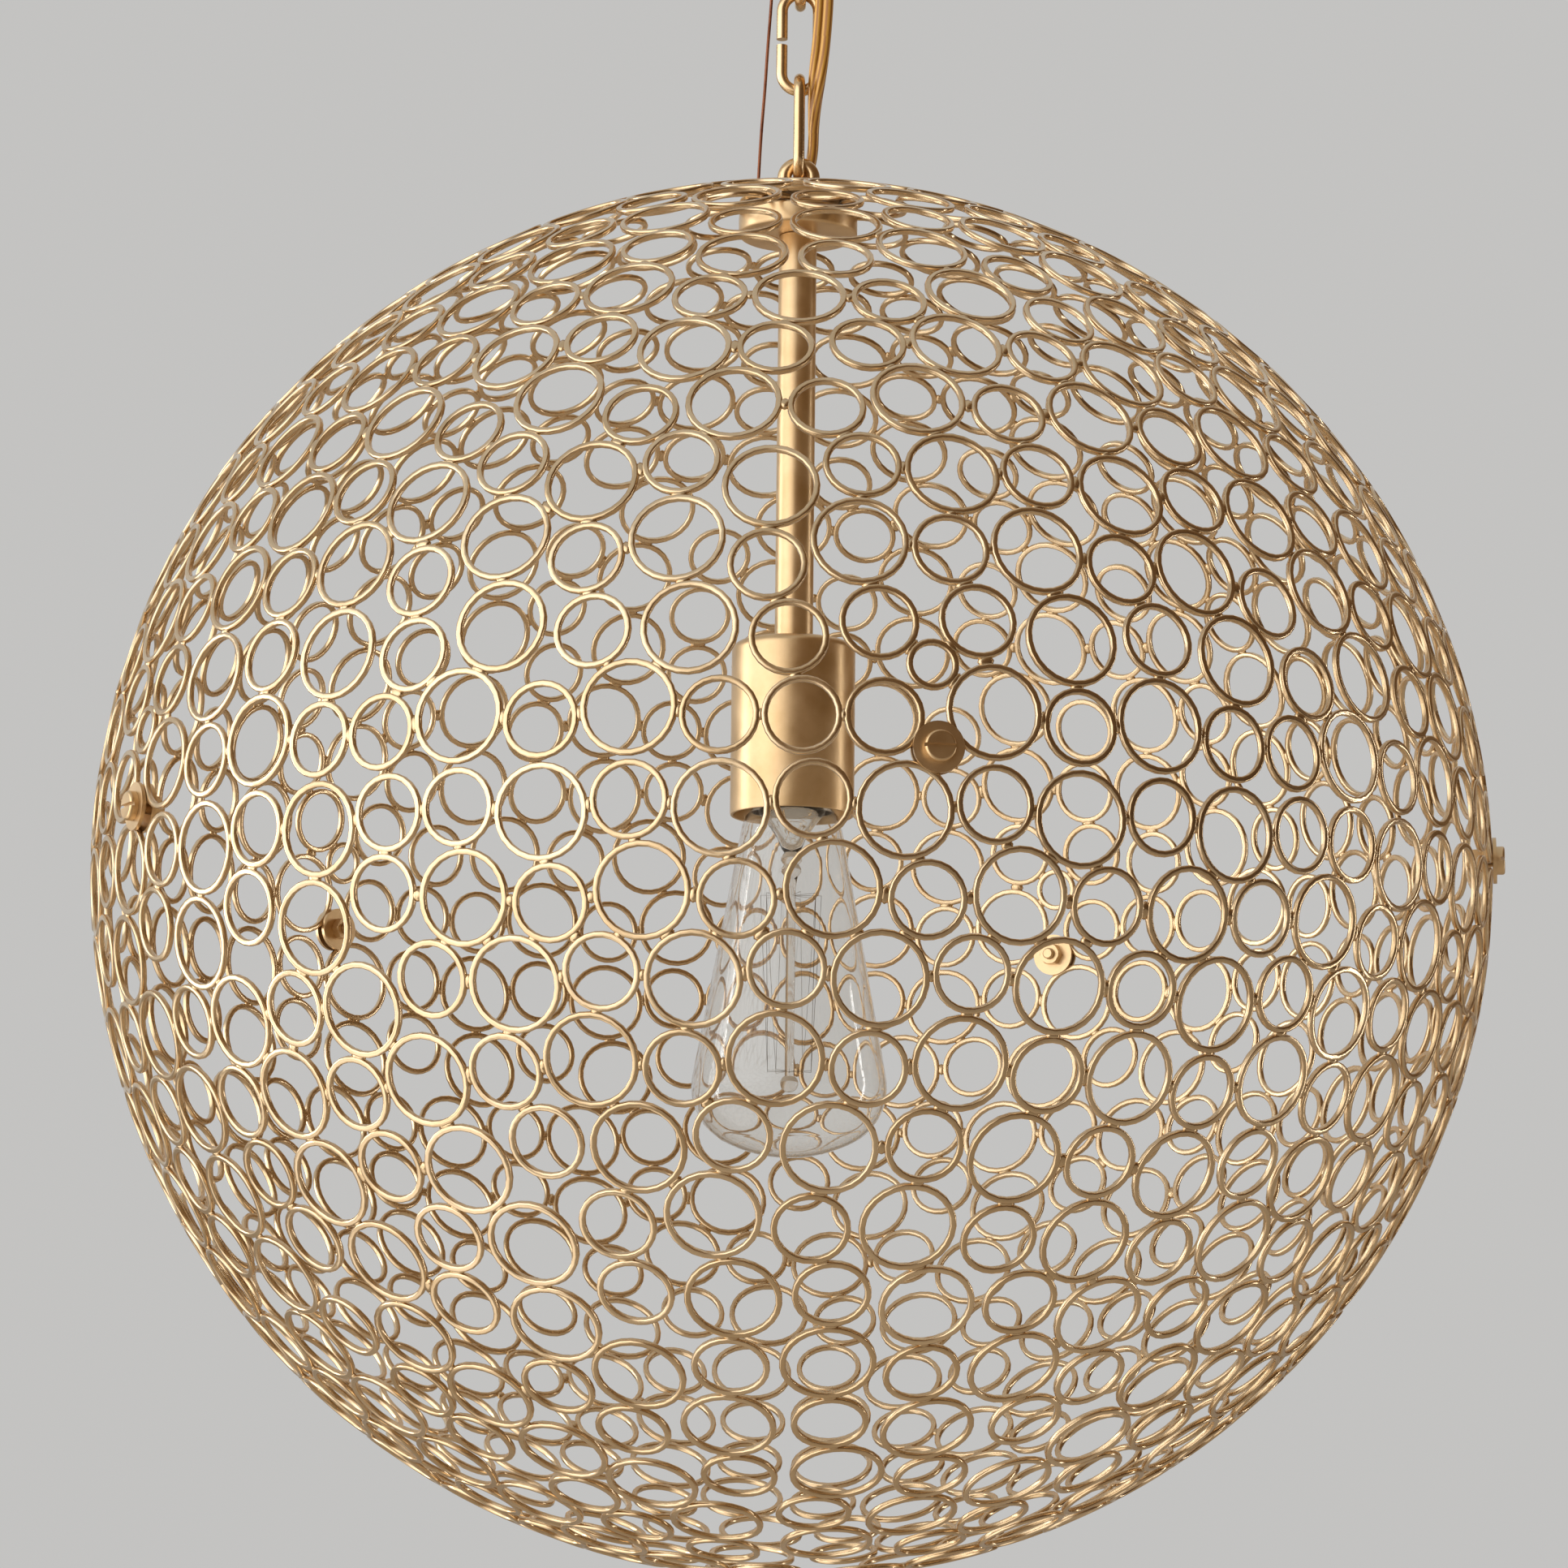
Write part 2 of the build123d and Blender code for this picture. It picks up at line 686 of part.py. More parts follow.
def bulb_filament():
    """Cage of filament strands that run up and down between two rings of hooks."""
    top = mount_press_bottom - filament_top_drop
    bottom = top - filament_height
    wire = filament_wire / 2
    corners = []
    for i in range(2 * filament_strands):
        angle = math.pi * i / filament_strands
        radius = filament_bottom_radius if i % 2 else filament_top_radius
        corners.append(Vector(radius * math.cos(angle), radius * math.sin(angle), bottom if i % 2 else top))
    cage = []
    for a, b in zip(corners, corners[1:] + corners[:1]):
        run = b - a
        cage.append(Solid.make_cylinder(wire, run.length, Plane(origin=a, z_dir=run.normalized())))
        cage.append(Pos(a) * Sphere(wire * 1.05))
    for corner in corners:
        inwards = Vector(-corner.X, -corner.Y, 0)
        spoke = inwards.length - mount_rod_diameter / 2 - hook_gap
        cage.append(Solid.make_cylinder(wire, spoke, Plane(origin=corner, z_dir=inwards.normalized())))
    return Part() + cage


# Cord and ground wire
def offset_from_globe(points):
    """Route points given from the middle of the globe, as points in the frame of the light."""
    return [Vector(x, y, globe_centre + z) for x, y, z in points]


def exit_points(x, y):
    """First two points of a route, straight down through the canopy loop's floor."""
    return [Vector(x, y, floor_top - cord_start_inset), Vector(x, y, floor_bottom - cord_exit_run)]


cord_route = (
    exit_points(cord_top_x, cord_top_y)
    + offset_from_globe(
        [
            (7.0, -5.7, 332.0),
            (8.2, -7.2, 319.0),
            (8.3, -6.8, 302.0),
            (7.5, -6.4, 287.0),
            (6.1, -5.4, 274.0),
            (5.2, -2.6, 265.0),
            (4.9, 1.6, 257.8),
            (4.9, 5.6, 251.8),
            (4.2, 8.4, 246.6),
            (2.7, 9.4, 241.6),
        ]
    )
    + [Vector(cord_bottom_x + 0.3, cord_bottom_y + 0.4, flange_top + cord_entry_run)]
    + [Vector(cord_bottom_x, cord_bottom_y, flange_bottom + cord_end_lift)]
)
screw_wire_level = outer_plate_top + ground_diameter / 2 + seat_gap
ground_route = (
    exit_points(ground_top_x, ground_top_y)
    + offset_from_globe(
        [
            (-7.6, 3.6, 331.0),
            (-9.3, 5.2, 316.0),
            (-10.0, 4.4, 300.0),
            (-11.0, 2.4, 285.0),
            (-11.7, 0.4, 270.0),
            (-12.6, -1.6, 257.0),
        ]
    )
    + [Vector(ground_screw_x - 0.6, ground_screw_y + 5.4, outer_plate_top + 14)]
    + [Vector(ground_screw_x - 0.9, ground_screw_y + 4.7, outer_plate_top + 6)]
    + [Vector(ground_screw_x - 1.1, ground_screw_y + 4.5, outer_plate_top + 2.2)]
    + [Vector(ground_screw_x - 1.6, ground_screw_y + 3.3, screw_wire_level)]
    + [Vector(ground_screw_x - 2.2, ground_screw_y + 0.6, screw_wire_level)]
)


def route_wire(route):
    """Straight runs joined by tangent arcs, each as large as its two runs allow."""
    radii = []
    for a, b, c in zip(route, route[1:], route[2:]):
        turn = math.radians((b - a).get_angle(c - b))
        radii.append(cord_arc_share * min((b - a).length, (c - b).length) / math.tan(turn / 2))
    print("radii", [round(r, 1) for r in radii])
    return FilletPolyline(*route, radius=radii).wire()


def cut_spans(route, diameter):
    """A cord's tube, cut at the middle of each link."""
    wire = route_wire(route)
    start = wire @ 0
    whole = sweep(Plane(origin=start, z_dir=wire % 0) * Circle(diameter / 2), path=wire)
    section = math.pi * diameter**2 / 4
    print("cord length", round(wire.length, 1))
    print("cord volume", round(whole.volume, 1), "section times length", round(section * wire.length, 1))
    levels = [0, top_link_centre, middle_link_centre, bottom_link_centre, globe_centre]
    spans = []
    for high, low in zip(levels, levels[1:]):
        slab = disc(canopy_diameter, low, high)
        spans.append(whole & slab)
    return spans


upper_rim_rings = upper_rim()
fillers = filler_places(upper_rim_rings)
upper_starts = [upper_rim_rings + fillers, upper_second(upper_rim_rings)]
upper_rings = half_globe(upper_starts, upper_row_lead_deg, upper_row_odd)
lower_rings = half_globe([lower_rim()], lower_row_lead_deg, lower_row_odd)
polar_room = min(90 - lat - math.degrees(ring_reach(od)) for lon, lat, od in lower_rings)
pole_ring_od = 2 * (wire_sphere * math.sin(math.radians(polar_room) - wire_angle) + wire_radius)

parts = {
    "crossbar": crossbar(),
    "canopy_nipple": tube(nipple_diameter, nipple_bore, chamber_top, 0),
    "nipple_nut": hex_nut(
        lock_nut_flats,
        nipple_diameter + 2 * thread_clearance,
        -crossbar_thickness - seat_gap - lock_nut_height,
        -crossbar_thickness - seat_gap,
    ),
    "canopy": canopy(),
    "canopy_collar": canopy_collar(),
    "canopy_loop": canopy_loop(),
    "chain_link_top": Pos(0, 0, top_link_centre) * Rot(0, 0, -90) * chain_link(),
    "chain_link_middle": Pos(0, 0, middle_link_centre) * chain_link(),
    "chain_link_bottom": Pos(0, 0, bottom_link_centre) * Rot(0, 0, -90) * chain_link(),
    "hang_loop": hang_loop(),
    "top_plate_outer": top_plate_outer(),
    "top_plate_inner": plate(inner_plate_bottom, inner_plate_top),
    "ground_screw": ground_screw(),
    "threaded_rod": tube(rod_diameter, rod_bore, rod_bottom, rod_top),
    "stem_tube": tube(stem_diameter, stem_diameter - 2 * stem_wall, stem_top - stem_length, stem_top),
    "socket_cup": socket_cup(),
    "cup_nut": hex_nut(
        cup_nut_flats, rod_diameter + 2 * thread_clearance, cup_nut_top - cup_nut_height, cup_nut_top
    ),
    "socket_body": socket_body(),
    "socket_screw_shell": tube(
        socket_bore - 2 * thread_clearance,
        socket_bore - 2 * thread_clearance - 2 * shell_wall,
        socket_bottom,
        socket_bottom + shell_height,
    ),
    "socket_contact": disc(contact_diameter, contact_bottom, contact_bottom + contact_thickness),
    "bulb_glass": bulb_glass(),
    "bulb_base": bulb_base(),
    "bulb_insulator": bulb_insulator(),
    "bulb_contact": bulb_contact(),
    "bulb_mount": bulb_mount(),
    "bulb_filament": bulb_filament(),
    "upper_large_rings": ring_group(upper_rings, large_ring_od, 1),
    "upper_small_rings": ring_group(upper_rings, small_ring_od, 1),
    "filler_rings": ring_group(upper_rings, filler_ring_od, 1),
    "lower_large_rings": ring_group(lower_rings, large_ring_od, -1),
    "lower_small_rings": ring_group(lower_rings, small_ring_od, -1),
    "pole_ring": ring_solid(0, -90, pole_ring_od),
    "clamp_screws": at_clamps(clamp_screw()),
    "clamp_outer_washers": at_clamps(washer(outer_washer_face, outer_washer_face + washer_thickness)),
    "clamp_inner_washers": at_clamps(washer(inner_washer_face - washer_thickness, inner_washer_face)),
    "clamp_nuts": at_clamps(
        hex_nut(nut_flats, screw_diameter + 2 * thread_clearance, nut_face - nut_height, nut_face)
    ),
}
for i, span in enumerate(cut_spans(cord_route, cord_diameter), 1):
    parts[f"lamp_cord_{i}"] = span
for i, span in enumerate(cut_spans(ground_route, ground_diameter), 1):
    parts[f"ground_wire_{i}"] = span

os.makedirs("parts", exist_ok=True)
for name, shape in parts.items():
    export_step(Compound(children=shape) if isinstance(shape, list) else shape, f"parts/{name}.step")
print("rings", len(upper_rings), len(lower_rings), "pole", round(pole_ring_od, 2))
print("globe centre", round(globe_centre, 2))
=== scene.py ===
import math
import bmesh
import bpy
from mathutils import Matrix, Vector


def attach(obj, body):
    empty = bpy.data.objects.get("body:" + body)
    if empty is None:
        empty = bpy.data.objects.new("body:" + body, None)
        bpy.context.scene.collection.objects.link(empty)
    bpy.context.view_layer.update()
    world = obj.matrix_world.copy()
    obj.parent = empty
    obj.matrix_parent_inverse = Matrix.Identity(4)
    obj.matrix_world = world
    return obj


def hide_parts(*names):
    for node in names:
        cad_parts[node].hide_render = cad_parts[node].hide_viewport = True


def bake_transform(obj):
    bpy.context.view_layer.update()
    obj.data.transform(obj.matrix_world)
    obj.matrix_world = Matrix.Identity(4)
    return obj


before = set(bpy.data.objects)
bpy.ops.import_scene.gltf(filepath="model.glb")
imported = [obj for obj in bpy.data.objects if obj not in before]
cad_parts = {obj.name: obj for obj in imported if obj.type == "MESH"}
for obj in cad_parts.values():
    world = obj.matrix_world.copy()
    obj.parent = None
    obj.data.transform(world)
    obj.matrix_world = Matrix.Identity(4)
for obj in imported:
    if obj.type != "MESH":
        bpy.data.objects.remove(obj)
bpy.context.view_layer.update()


# Crossbar, nipple and lock nut: the steel hardware that hangs the light from the ceiling box.
# They are punched and turned from zinc plated steel, and the nut locks the nipple under the bar.
def shader_nodes(name):
    """A new material, with its nodes, links and shader."""
    material = bpy.data.materials.new(name)
    material.use_nodes = True
    nodes = material.node_tree.nodes
    return material, nodes, material.node_tree.links, nodes["Principled BSDF"]


def grain(nodes, links, scale, detail=4.0):
    """Noise over the object's own coordinates, in cycles per metre."""
    place = nodes.new("ShaderNodeTexCoord")
    noise = nodes.new("ShaderNodeTexNoise")
    noise.inputs["Scale"].default_value = scale
    noise.inputs["Detail"].default_value = detail
    links.new(place.outputs["Object"], noise.inputs["Vector"])
    return noise.outputs["Fac"]


def two_tone(nodes, links, factor, low, high, start=0.35, stop=0.65):
    """A colour that runs from one tone to another as a factor grows."""
    ramp = nodes.new("ShaderNodeValToRGB")
    ramp.color_ramp.elements[0].position = start
    ramp.color_ramp.elements[0].color = (*low, 1)
    ramp.color_ramp.elements[1].position = stop
    ramp.color_ramp.elements[1].color = (*high, 1)
    links.new(factor, ramp.inputs["Fac"])
    return ramp.outputs["Color"]


def spread_value(nodes, links, factor, low, high, start=0.3, stop=0.7):
    """A number that runs from low to high as a factor grows."""
    remap = nodes.new("ShaderNodeMapRange")
    remap.inputs["From Min"].default_value = start
    remap.inputs["From Max"].default_value = stop
    remap.inputs["To Min"].default_value = low
    remap.inputs["To Max"].default_value = high
    links.new(factor, remap.inputs["Value"])
    return remap.outputs["Result"]


def raised(nodes, links, shader, height, strength, distance):
    """A bump on the shader's normal."""
    bump = nodes.new("ShaderNodeBump")
    bump.inputs["Strength"].default_value = strength
    bump.inputs["Distance"].default_value = distance
    links.new(height, bump.inputs["Height"])
    links.new(bump.outputs["Normal"], shader.inputs["Normal"])


def plated(name, low, high, roughness):
    """A plated metal: faint cloudy tone, uneven gloss and a fine grain."""
    material, nodes, links, shader = shader_nodes(name)
    shader.inputs["Metallic"].default_value = 1.0
    cloud = grain(nodes, links, scale=140)
    fine = grain(nodes, links, scale=2600, detail=2.0)
    gloss = spread_value(nodes, links, cloud, roughness * 0.8, roughness * 1.25)
    links.new(two_tone(nodes, links, cloud, low, high), shader.inputs["Base Color"])
    links.new(gloss, shader.inputs["Roughness"])
    raised(nodes, links, shader, fine, strength=0.12, distance=0.00004)
    return material


def dress(node, material):
    """A kept solid takes a finish on all its material slots."""
    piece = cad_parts[node]
    if not piece.material_slots:
        piece.data.materials.append(material)
    for place in piece.material_slots:
        place.material = material


zinc_plate = plated("zinc_plate", (0.42, 0.42, 0.40), (0.56, 0.56, 0.53), 0.34)
for node in ("crossbar", "canopy_nipple", "nipple_nut", "threaded_rod", "cup_nut"):
    dress(node, zinc_plate)


# Canopy: a shallow dish that hides the ceiling box, spun from sheet metal and painted satin gold.
# Its rim is turned outwards into a flat lip, and the collar below holds it up.
def rounded(outline, radius, steps=3, most=0.45, straight=0.985):
    """A closed outline of radius and level pairs with each corner eased by a small arc.

    An arc takes at most a share of the shorter side, and a nearly straight corner stays as it is."""
    eased = []
    count = len(outline)
    for i in range(count):
        before, corner, after = (Vector(outline[(i + k) % count]) for k in (-1, 0, 1))
        room = min((before - corner).length, (after - corner).length) * most
        into = (before - corner).normalized() * min(radius, room)
        out = (after - corner).normalized() * min(radius, room)
        if abs(into.normalized().dot(out.normalized())) > straight:
            eased.append(corner)
            continue
        for k in range(steps + 1):
            t = k / steps
            eased.append(corner + into * (1 - t) ** 2 + out * t**2)
    return [(p[0], p[1]) for p in eased]


def arc_outline(centre, radius, start_deg, stop_deg, steps):
    """Points of an arc in radius and level."""
    turns = [math.radians(start_deg + (stop_deg - start_deg) * k / steps) for k in range(steps + 1)]
    return [(centre[0] + radius * math.cos(a), centre[1] + radius * math.sin(a)) for a in turns]


def plain_mesh(shape, smooth_deg):
    """A finished mesh: doubles merged, faces outwards, soft bends smooth and edges sharp."""
    bmesh.ops.remove_doubles(shape, verts=shape.verts, dist=1e-7)
    bmesh.ops.recalc_face_normals(shape, faces=shape.faces)
    mesh = bpy.data.meshes.new("shape")
    shape.to_mesh(mesh)
    shape.free()
    mesh.shade_smooth()
    mesh.set_sharp_from_angle(angle=math.radians(smooth_deg))
    return mesh


def turned(outline, steps=96, smooth_deg=35):
    """A finished mesh of a closed outline turned about Z."""
    shape = bmesh.new()
    rows = []
    for r, z in outline:
        if r == 0:
            rows.append([shape.verts.new((0, 0, z))])
        else:
            turns = [2 * math.pi * k / steps for k in range(steps)]
            rows.append([shape.verts.new((r * math.sin(a), -r * math.cos(a), z)) for a in turns])
    for row, after in zip(rows, rows[1:] + rows[:1]):
        for k in range(steps):
            corners = [row[k % len(row)], row[(k + 1) % len(row)]]
            corners += [after[(k + 1) % len(after)], after[k % len(after)]]
            corners = list(dict.fromkeys(corners))
            if len(corners) > 2:
                shape.faces.new(corners)
    return plain_mesh(shape, smooth_deg)


def piece_of(name, mesh, material, body, slot, *nodes):
    """A finished piece at the origin that rides on a body and stands for CAD nodes."""
    mesh.name = name
    mesh.materials.clear()
    mesh.materials.append(material)
    piece = bpy.data.objects.new(name, mesh)
    bpy.context.scene.collection.objects.link(piece)
    if body:
        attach(piece, body)
    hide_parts(*nodes)
    return piece


def reckoned(nodes, links, operation, *terms):
    """The result of a math node on numbers or other nodes' results."""
    node = nodes.new("ShaderNodeMath")
    node.operation = operation
    for place, term in zip(node.inputs, terms):
        if isinstance(term, (int, float)):
            place.default_value = term
        else:
            links.new(term, place)
    return node.outputs["Value"]


def gold_paint(
    name, low=(0.70, 0.49, 0.262), high=(0.82, 0.605, 0.355), roughness=0.34, peel=0.02, tone=None
):
    """Champagne-gold paint on metal: slow changes of tone and a slightly uneven coat.

    A tone attribute, where one is named, shifts the colour of each repeated shape as a whole."""
    tone_share, tone_drop = 0.35, 0.17
    material, nodes, links, shader = shader_nodes(name)
    shader.inputs["Metallic"].default_value = 0.95
    shader.inputs["Specular IOR Level"].default_value = 0.6
    shader.inputs["Coat Weight"].default_value = 0.2
    shader.inputs["Coat Roughness"].default_value = 0.22
    cloud = grain(nodes, links, scale=90)
    shade = cloud
    if tone:
        own = nodes.new("ShaderNodeAttribute")
        own.attribute_name = tone
        lowered = reckoned(nodes, links, "SUBTRACT", cloud, tone_drop)
        shade = reckoned(nodes, links, "MULTIPLY_ADD", own.outputs["Fac"], tone_share, lowered)
    gloss = spread_value(nodes, links, cloud, roughness * 0.85, roughness * 1.15)
    links.new(two_tone(nodes, links, shade, low, high), shader.inputs["Base Color"])
    links.new(gloss, shader.inputs["Roughness"])
    raised(nodes, links, shader, grain(nodes, links, scale=700, detail=1.0), peel, distance=0.0002)
    return material


satin_gold = gold_paint("satin_gold")
gloss_gold = gold_paint("gloss_gold", roughness=0.22)
canopy_depth, canopy_wall = 0.026, 0.0012
canopy_bore, canopy_side, canopy_lip = 0.0102, 0.0595, 0.0635
canopy_bend, canopy_edge = 0.012, 0.0006
bend_middle = (canopy_side - canopy_bend, canopy_bend - canopy_depth)
outline = [(canopy_bore, -canopy_depth)]
outline += arc_outline(bend_middle, canopy_bend, -90, 0, 10)
outline += [(canopy_side, -canopy_wall), (canopy_lip, -canopy_wall)]
outline += [(canopy_lip, 0), (canopy_side - canopy_wall, 0)]
outline += arc_outline(bend_middle, canopy_bend - canopy_wall, 0, -90, 10)
outline += [(canopy_bore, canopy_wall - canopy_depth)]
mesh = turned(rounded(outline, canopy_edge), steps=128)
piece_of("canopy_dish", mesh, satin_gold, "canopy", "gold", "canopy")


# Collar: a turned ring nut that screws up the loop's shoulder and presses the canopy to the ceiling.
# Its rims are rounded, and a shallow groove round its waist gives the fingers a grip.
collar_bore, collar_side, collar_edge = 0.0101, 0.0155, 0.0016
collar_top, collar_bottom = -0.02605, -0.03405
groove_top, groove_bottom, groove_depth = -0.0292, -0.0309, 0.0005
outline = [(collar_bore, collar_top), (collar_side, collar_top), (collar_side, groove_top)]
outline += [(collar_side - groove_depth, groove_top - groove_depth)]
outline += [(collar_side - groove_depth, groove_bottom + groove_depth)]
outline += [(collar_side, groove_bottom), (collar_side, collar_bottom), (collar_bore, collar_bottom)]
mesh = turned(rounded(outline, collar_edge))
piece_of("canopy_ring_nut", mesh, satin_gold, "canopy", "gold", "canopy_collar")


# Canopy loop: a casting with a threaded shoulder, a floor with two wire holes and a round bail.
# The chain's top link hangs on the bail, and the paint is the same as the canopy's.
dress("canopy_loop", gloss_gold)


# Chain: three links bent from round wire, each with an open seam at the middle of one leg.
# They are cut and closed cold, then dipped in the same gold paint as the globe.
def run_tree(tree, base, values):
    """The mesh that a node tree makes from a base mesh, with its named inputs set."""
    carrier = bpy.data.objects.new("carrier", base)
    bpy.context.scene.collection.objects.link(carrier)
    modifier = carrier.modifiers.new("shape", "NODES")
    modifier.node_group = tree
    for item in tree.interface.items_tree:
        if item.item_type == "SOCKET" and item.in_out == "INPUT" and item.name in values:
            modifier[item.identifier] = values[item.name]
    depsgraph = bpy.context.evaluated_depsgraph_get()
    mesh = bpy.data.meshes.new_from_object(carrier.evaluated_get(depsgraph), depsgraph=depsgraph)
    bpy.data.objects.remove(carrier)
    bpy.data.meshes.remove(base)
    return mesh


def new_tree(name, inputs):
    """An empty node tree with a geometry input, named number inputs and a geometry output."""
    tree = bpy.data.node_groups.new(name, "GeometryNodeTree")
    tree.interface.new_socket("Geometry", in_out="INPUT", socket_type="NodeSocketGeometry")
    for label, kind, value in inputs:
        socket = tree.interface.new_socket(label, in_out="INPUT", socket_type="NodeSocket" + kind)
        if value is not None:
            socket.default_value = value
    tree.interface.new_socket("Geometry", in_out="OUTPUT", socket_type="NodeSocketGeometry")
    given = tree.nodes.new("NodeGroupInput")
    result = tree.nodes.new("NodeGroupOutput")
    return tree, given, result


def finish_tree(tree, given, result, geometry):
    """Ends a tree: smooth faces, plain geometry and the piece's material."""
    smooth = tree.nodes.new("GeometryNodeSetShadeSmooth")
    real = tree.nodes.new("GeometryNodeRealizeInstances")
    paint = tree.nodes.new("GeometryNodeSetMaterial")
    tree.links.new(geometry, real.inputs["Geometry"])
    tree.links.new(real.outputs["Geometry"], smooth.inputs["Geometry"])
    tree.links.new(smooth.outputs["Geometry"], paint.inputs["Geometry"])
    tree.links.new(given.outputs["Material"], paint.inputs["Material"])
    tree.links.new(paint.outputs["Geometry"], result.inputs["Geometry"])


def bent_wire_tree():
    """Wire of round section along a line of edges."""
    tree, given, result = new_tree(
        "bent_wire", [("Wire Diameter", "Float", 0.004), ("Sides", "Int", 16), ("Material", "Material", None)]
    )
    nodes, links = tree.nodes, tree.links
    line = nodes.new("GeometryNodeMeshToCurve")
    radius = reckoned(nodes, links, "MULTIPLY", given.outputs["Wire Diameter"], 0.5)
    section = nodes.new("GeometryNodeCurvePrimitiveCircle")
    wire = nodes.new("GeometryNodeCurveToMesh")
    wire.inputs["Fill Caps"].default_value = True
    links.new(given.outputs["Geometry"], line.inputs["Mesh"])
    links.new(radius, section.inputs["Radius"])
    links.new(given.outputs["Sides"], section.inputs["Resolution"])
    links.new(line.outputs["Curve"], wire.inputs["Curve"])
    links.new(section.outputs["Curve"], wire.inputs["Profile Curve"])
    finish_tree(tree, given, result, wire.outputs["Mesh"])
    return tree


def line_mesh(points):
    """A mesh of points joined by edges."""
    mesh = bpy.data.meshes.new("line")
    mesh.from_pydata(points, [(i, i + 1) for i in range(len(points) - 1)], [])
    return mesh


bent_wire = bent_wire_tree()
link_length = 0.038
link_width = 0.016
link_wire = 0.0038
link_seam = 0.0022
link_levels = {"top": -0.06625, "middle": -0.09655, "bottom": -0.12685}
half_width = (link_width - link_wire) / 2
straight = (link_length - link_width) / 2
outline = [(-half_width, link_seam / 2), (-half_width, straight / 2)]
outline += arc_outline((0, straight), half_width, 180, 0, 20)
outline += [(half_width, straight / 2), (half_width, -straight / 2)]
outline += arc_outline((0, -straight), half_width, 0, -180, 20)
outline += [(-half_width, -straight / 2), (-half_width, -link_seam / 2)]
for place, level in link_levels.items():
    if place == "middle":
        points = [(x, 0, level + z) for x, z in outline]
    else:
        points = [(0, -x, level + z) for x, z in outline]
    values = {"Wire Diameter": link_wire, "Sides": 20, "Material": gloss_gold}
    link = run_tree(bent_wire, line_mesh(points), values)
    link.set_sharp_from_angle(angle=math.radians(40))
    piece_of(f"chain_{place}_link", link, gloss_gold, f"link_{place}", "gold", f"chain_link_{place}")


# Hang loop: a cast arch on a round flange, screwed on the rod's top end above the plates.
# The bottom link passes through the arch, and a hole in the flange takes the lamp cord.
dress("hang_loop", gloss_gold)


# Top plates: two turned discs that pinch the globe's top rings between them, tied by the rod.
# The outer one carries the ground screw and the inner one is a thick boss above the stem.
dress("top_plate_outer", gloss_gold)
plate_bore, plate_side, plate_edge = 0.0052, 0.020, 0.0009
plate_top, plate_bottom = -0.15758, -0.16478
outline = [(plate_bore, plate_top), (plate_side, plate_top)]
outline += [(plate_side, plate_bottom), (plate_bore, plate_bottom)]
mesh = turned(rounded(outline, plate_edge))
piece_of("inner_plate", mesh, satin_gold, "globe", "gold", "top_plate_inner")
dress("ground_screw", gloss_gold)


# Stem and cup: half-inch tube over the hollow rod, and a deep drawn cup that hides the socket.
# Both are painted with the globe, and the cup's shoulder is rounded by its draw.
stem_bore, stem_side, stem_edge = 0.00545, 0.00635, 0.0003
stem_top, stem_bottom = -0.16483, -0.30483
outline = [(stem_bore, stem_top), (stem_side, stem_top)]
outline += [(stem_side, stem_bottom), (stem_bore, stem_bottom)]
mesh = turned(rounded(outline, stem_edge), steps=64)
piece_of("stem", mesh, satin_gold, "globe", "gold", "stem_tube")
cup_bore, cup_side, cup_wall, cup_shoulder = 0.0052, 0.0205, 0.0012, 0.003
cup_top, cup_bottom = -0.30488, -0.36288
rim = [(0, 0.00068), (0.0002, 0.00013), (0.0006, 0), (0.0010, 0.00013), (0.0012, 0.00068)]
shoulder_middle = (cup_side - cup_shoulder, cup_top - cup_shoulder)
outline = [(cup_bore, cup_top)]
outline += arc_outline(shoulder_middle, cup_shoulder, 90, 0, 8)
outline += [(cup_side - inset, cup_bottom + rise) for inset, rise in rim]
outline += arc_outline(shoulder_middle, cup_shoulder - cup_wall, 0, 90, 6)
outline += [(cup_bore, cup_top - cup_wall)]
piece_of("cup", turned(outline), satin_gold, "globe", "gold", "socket_cup")


# Socket: a glazed porcelain body on the rod, with a brass screw shell and centre contact inside.
# The cup hides it, and only its rim shows from below beside the bulb's neck.
porcelain, nodes, links, shader = shader_nodes("porcelain")
cloud = grain(nodes, links, scale=220)
tone = two_tone(nodes, links, cloud, (0.62, 0.60, 0.54), (0.74, 0.72, 0.67))
links.new(tone, shader.inputs["Base Color"])
links.new(spread_value(nodes, links, cloud, 0.25, 0.4), shader.inputs["Roughness"])
bright_brass = plated("bright_brass", (0.55, 0.36, 0.12), (0.68, 0.47, 0.18), 0.25)
dress("socket_body", porcelain)
dress("socket_screw_shell", bright_brass)
dress("socket_contact", bright_brass)


# Bulb base: a thin nickel plated shell with a rolled thread, a black glass insulator and a contact.
# It screws into the socket's shell and turns with the bulb.
nickel_plate = plated("nickel_plate", (0.52, 0.50, 0.46), (0.66, 0.64, 0.59), 0.22)
black_glass, nodes, links, shader = shader_nodes("black_glass")
cloud = grain(nodes, links, scale=300)
tone = two_tone(nodes, links, cloud, (0.012, 0.012, 0.014), (0.03, 0.03, 0.034))
links.new(tone, shader.inputs["Base Color"])
links.new(spread_value(nodes, links, cloud, 0.12, 0.25), shader.inputs["Roughness"])
dress("bulb_base", nickel_plate)
dress("bulb_insulator", black_glass)
dress("bulb_contact", nickel_plate)


# Bulb glass: a clear blown bulb with a short neck, a long taper, a tight corner and a shallow crown.
# It is cemented in the base, and its glass is under a millimetre thick.
glass_wall = 0.0008
bulb_tip, crown_radius, corner_radius, corner_out = -0.47573, 0.046, 0.020, 0.012
neck_line = [(0.01315, -0.36068), (0.0154, -0.3633), (0.0164, -0.36608)]
taper_steps = 6


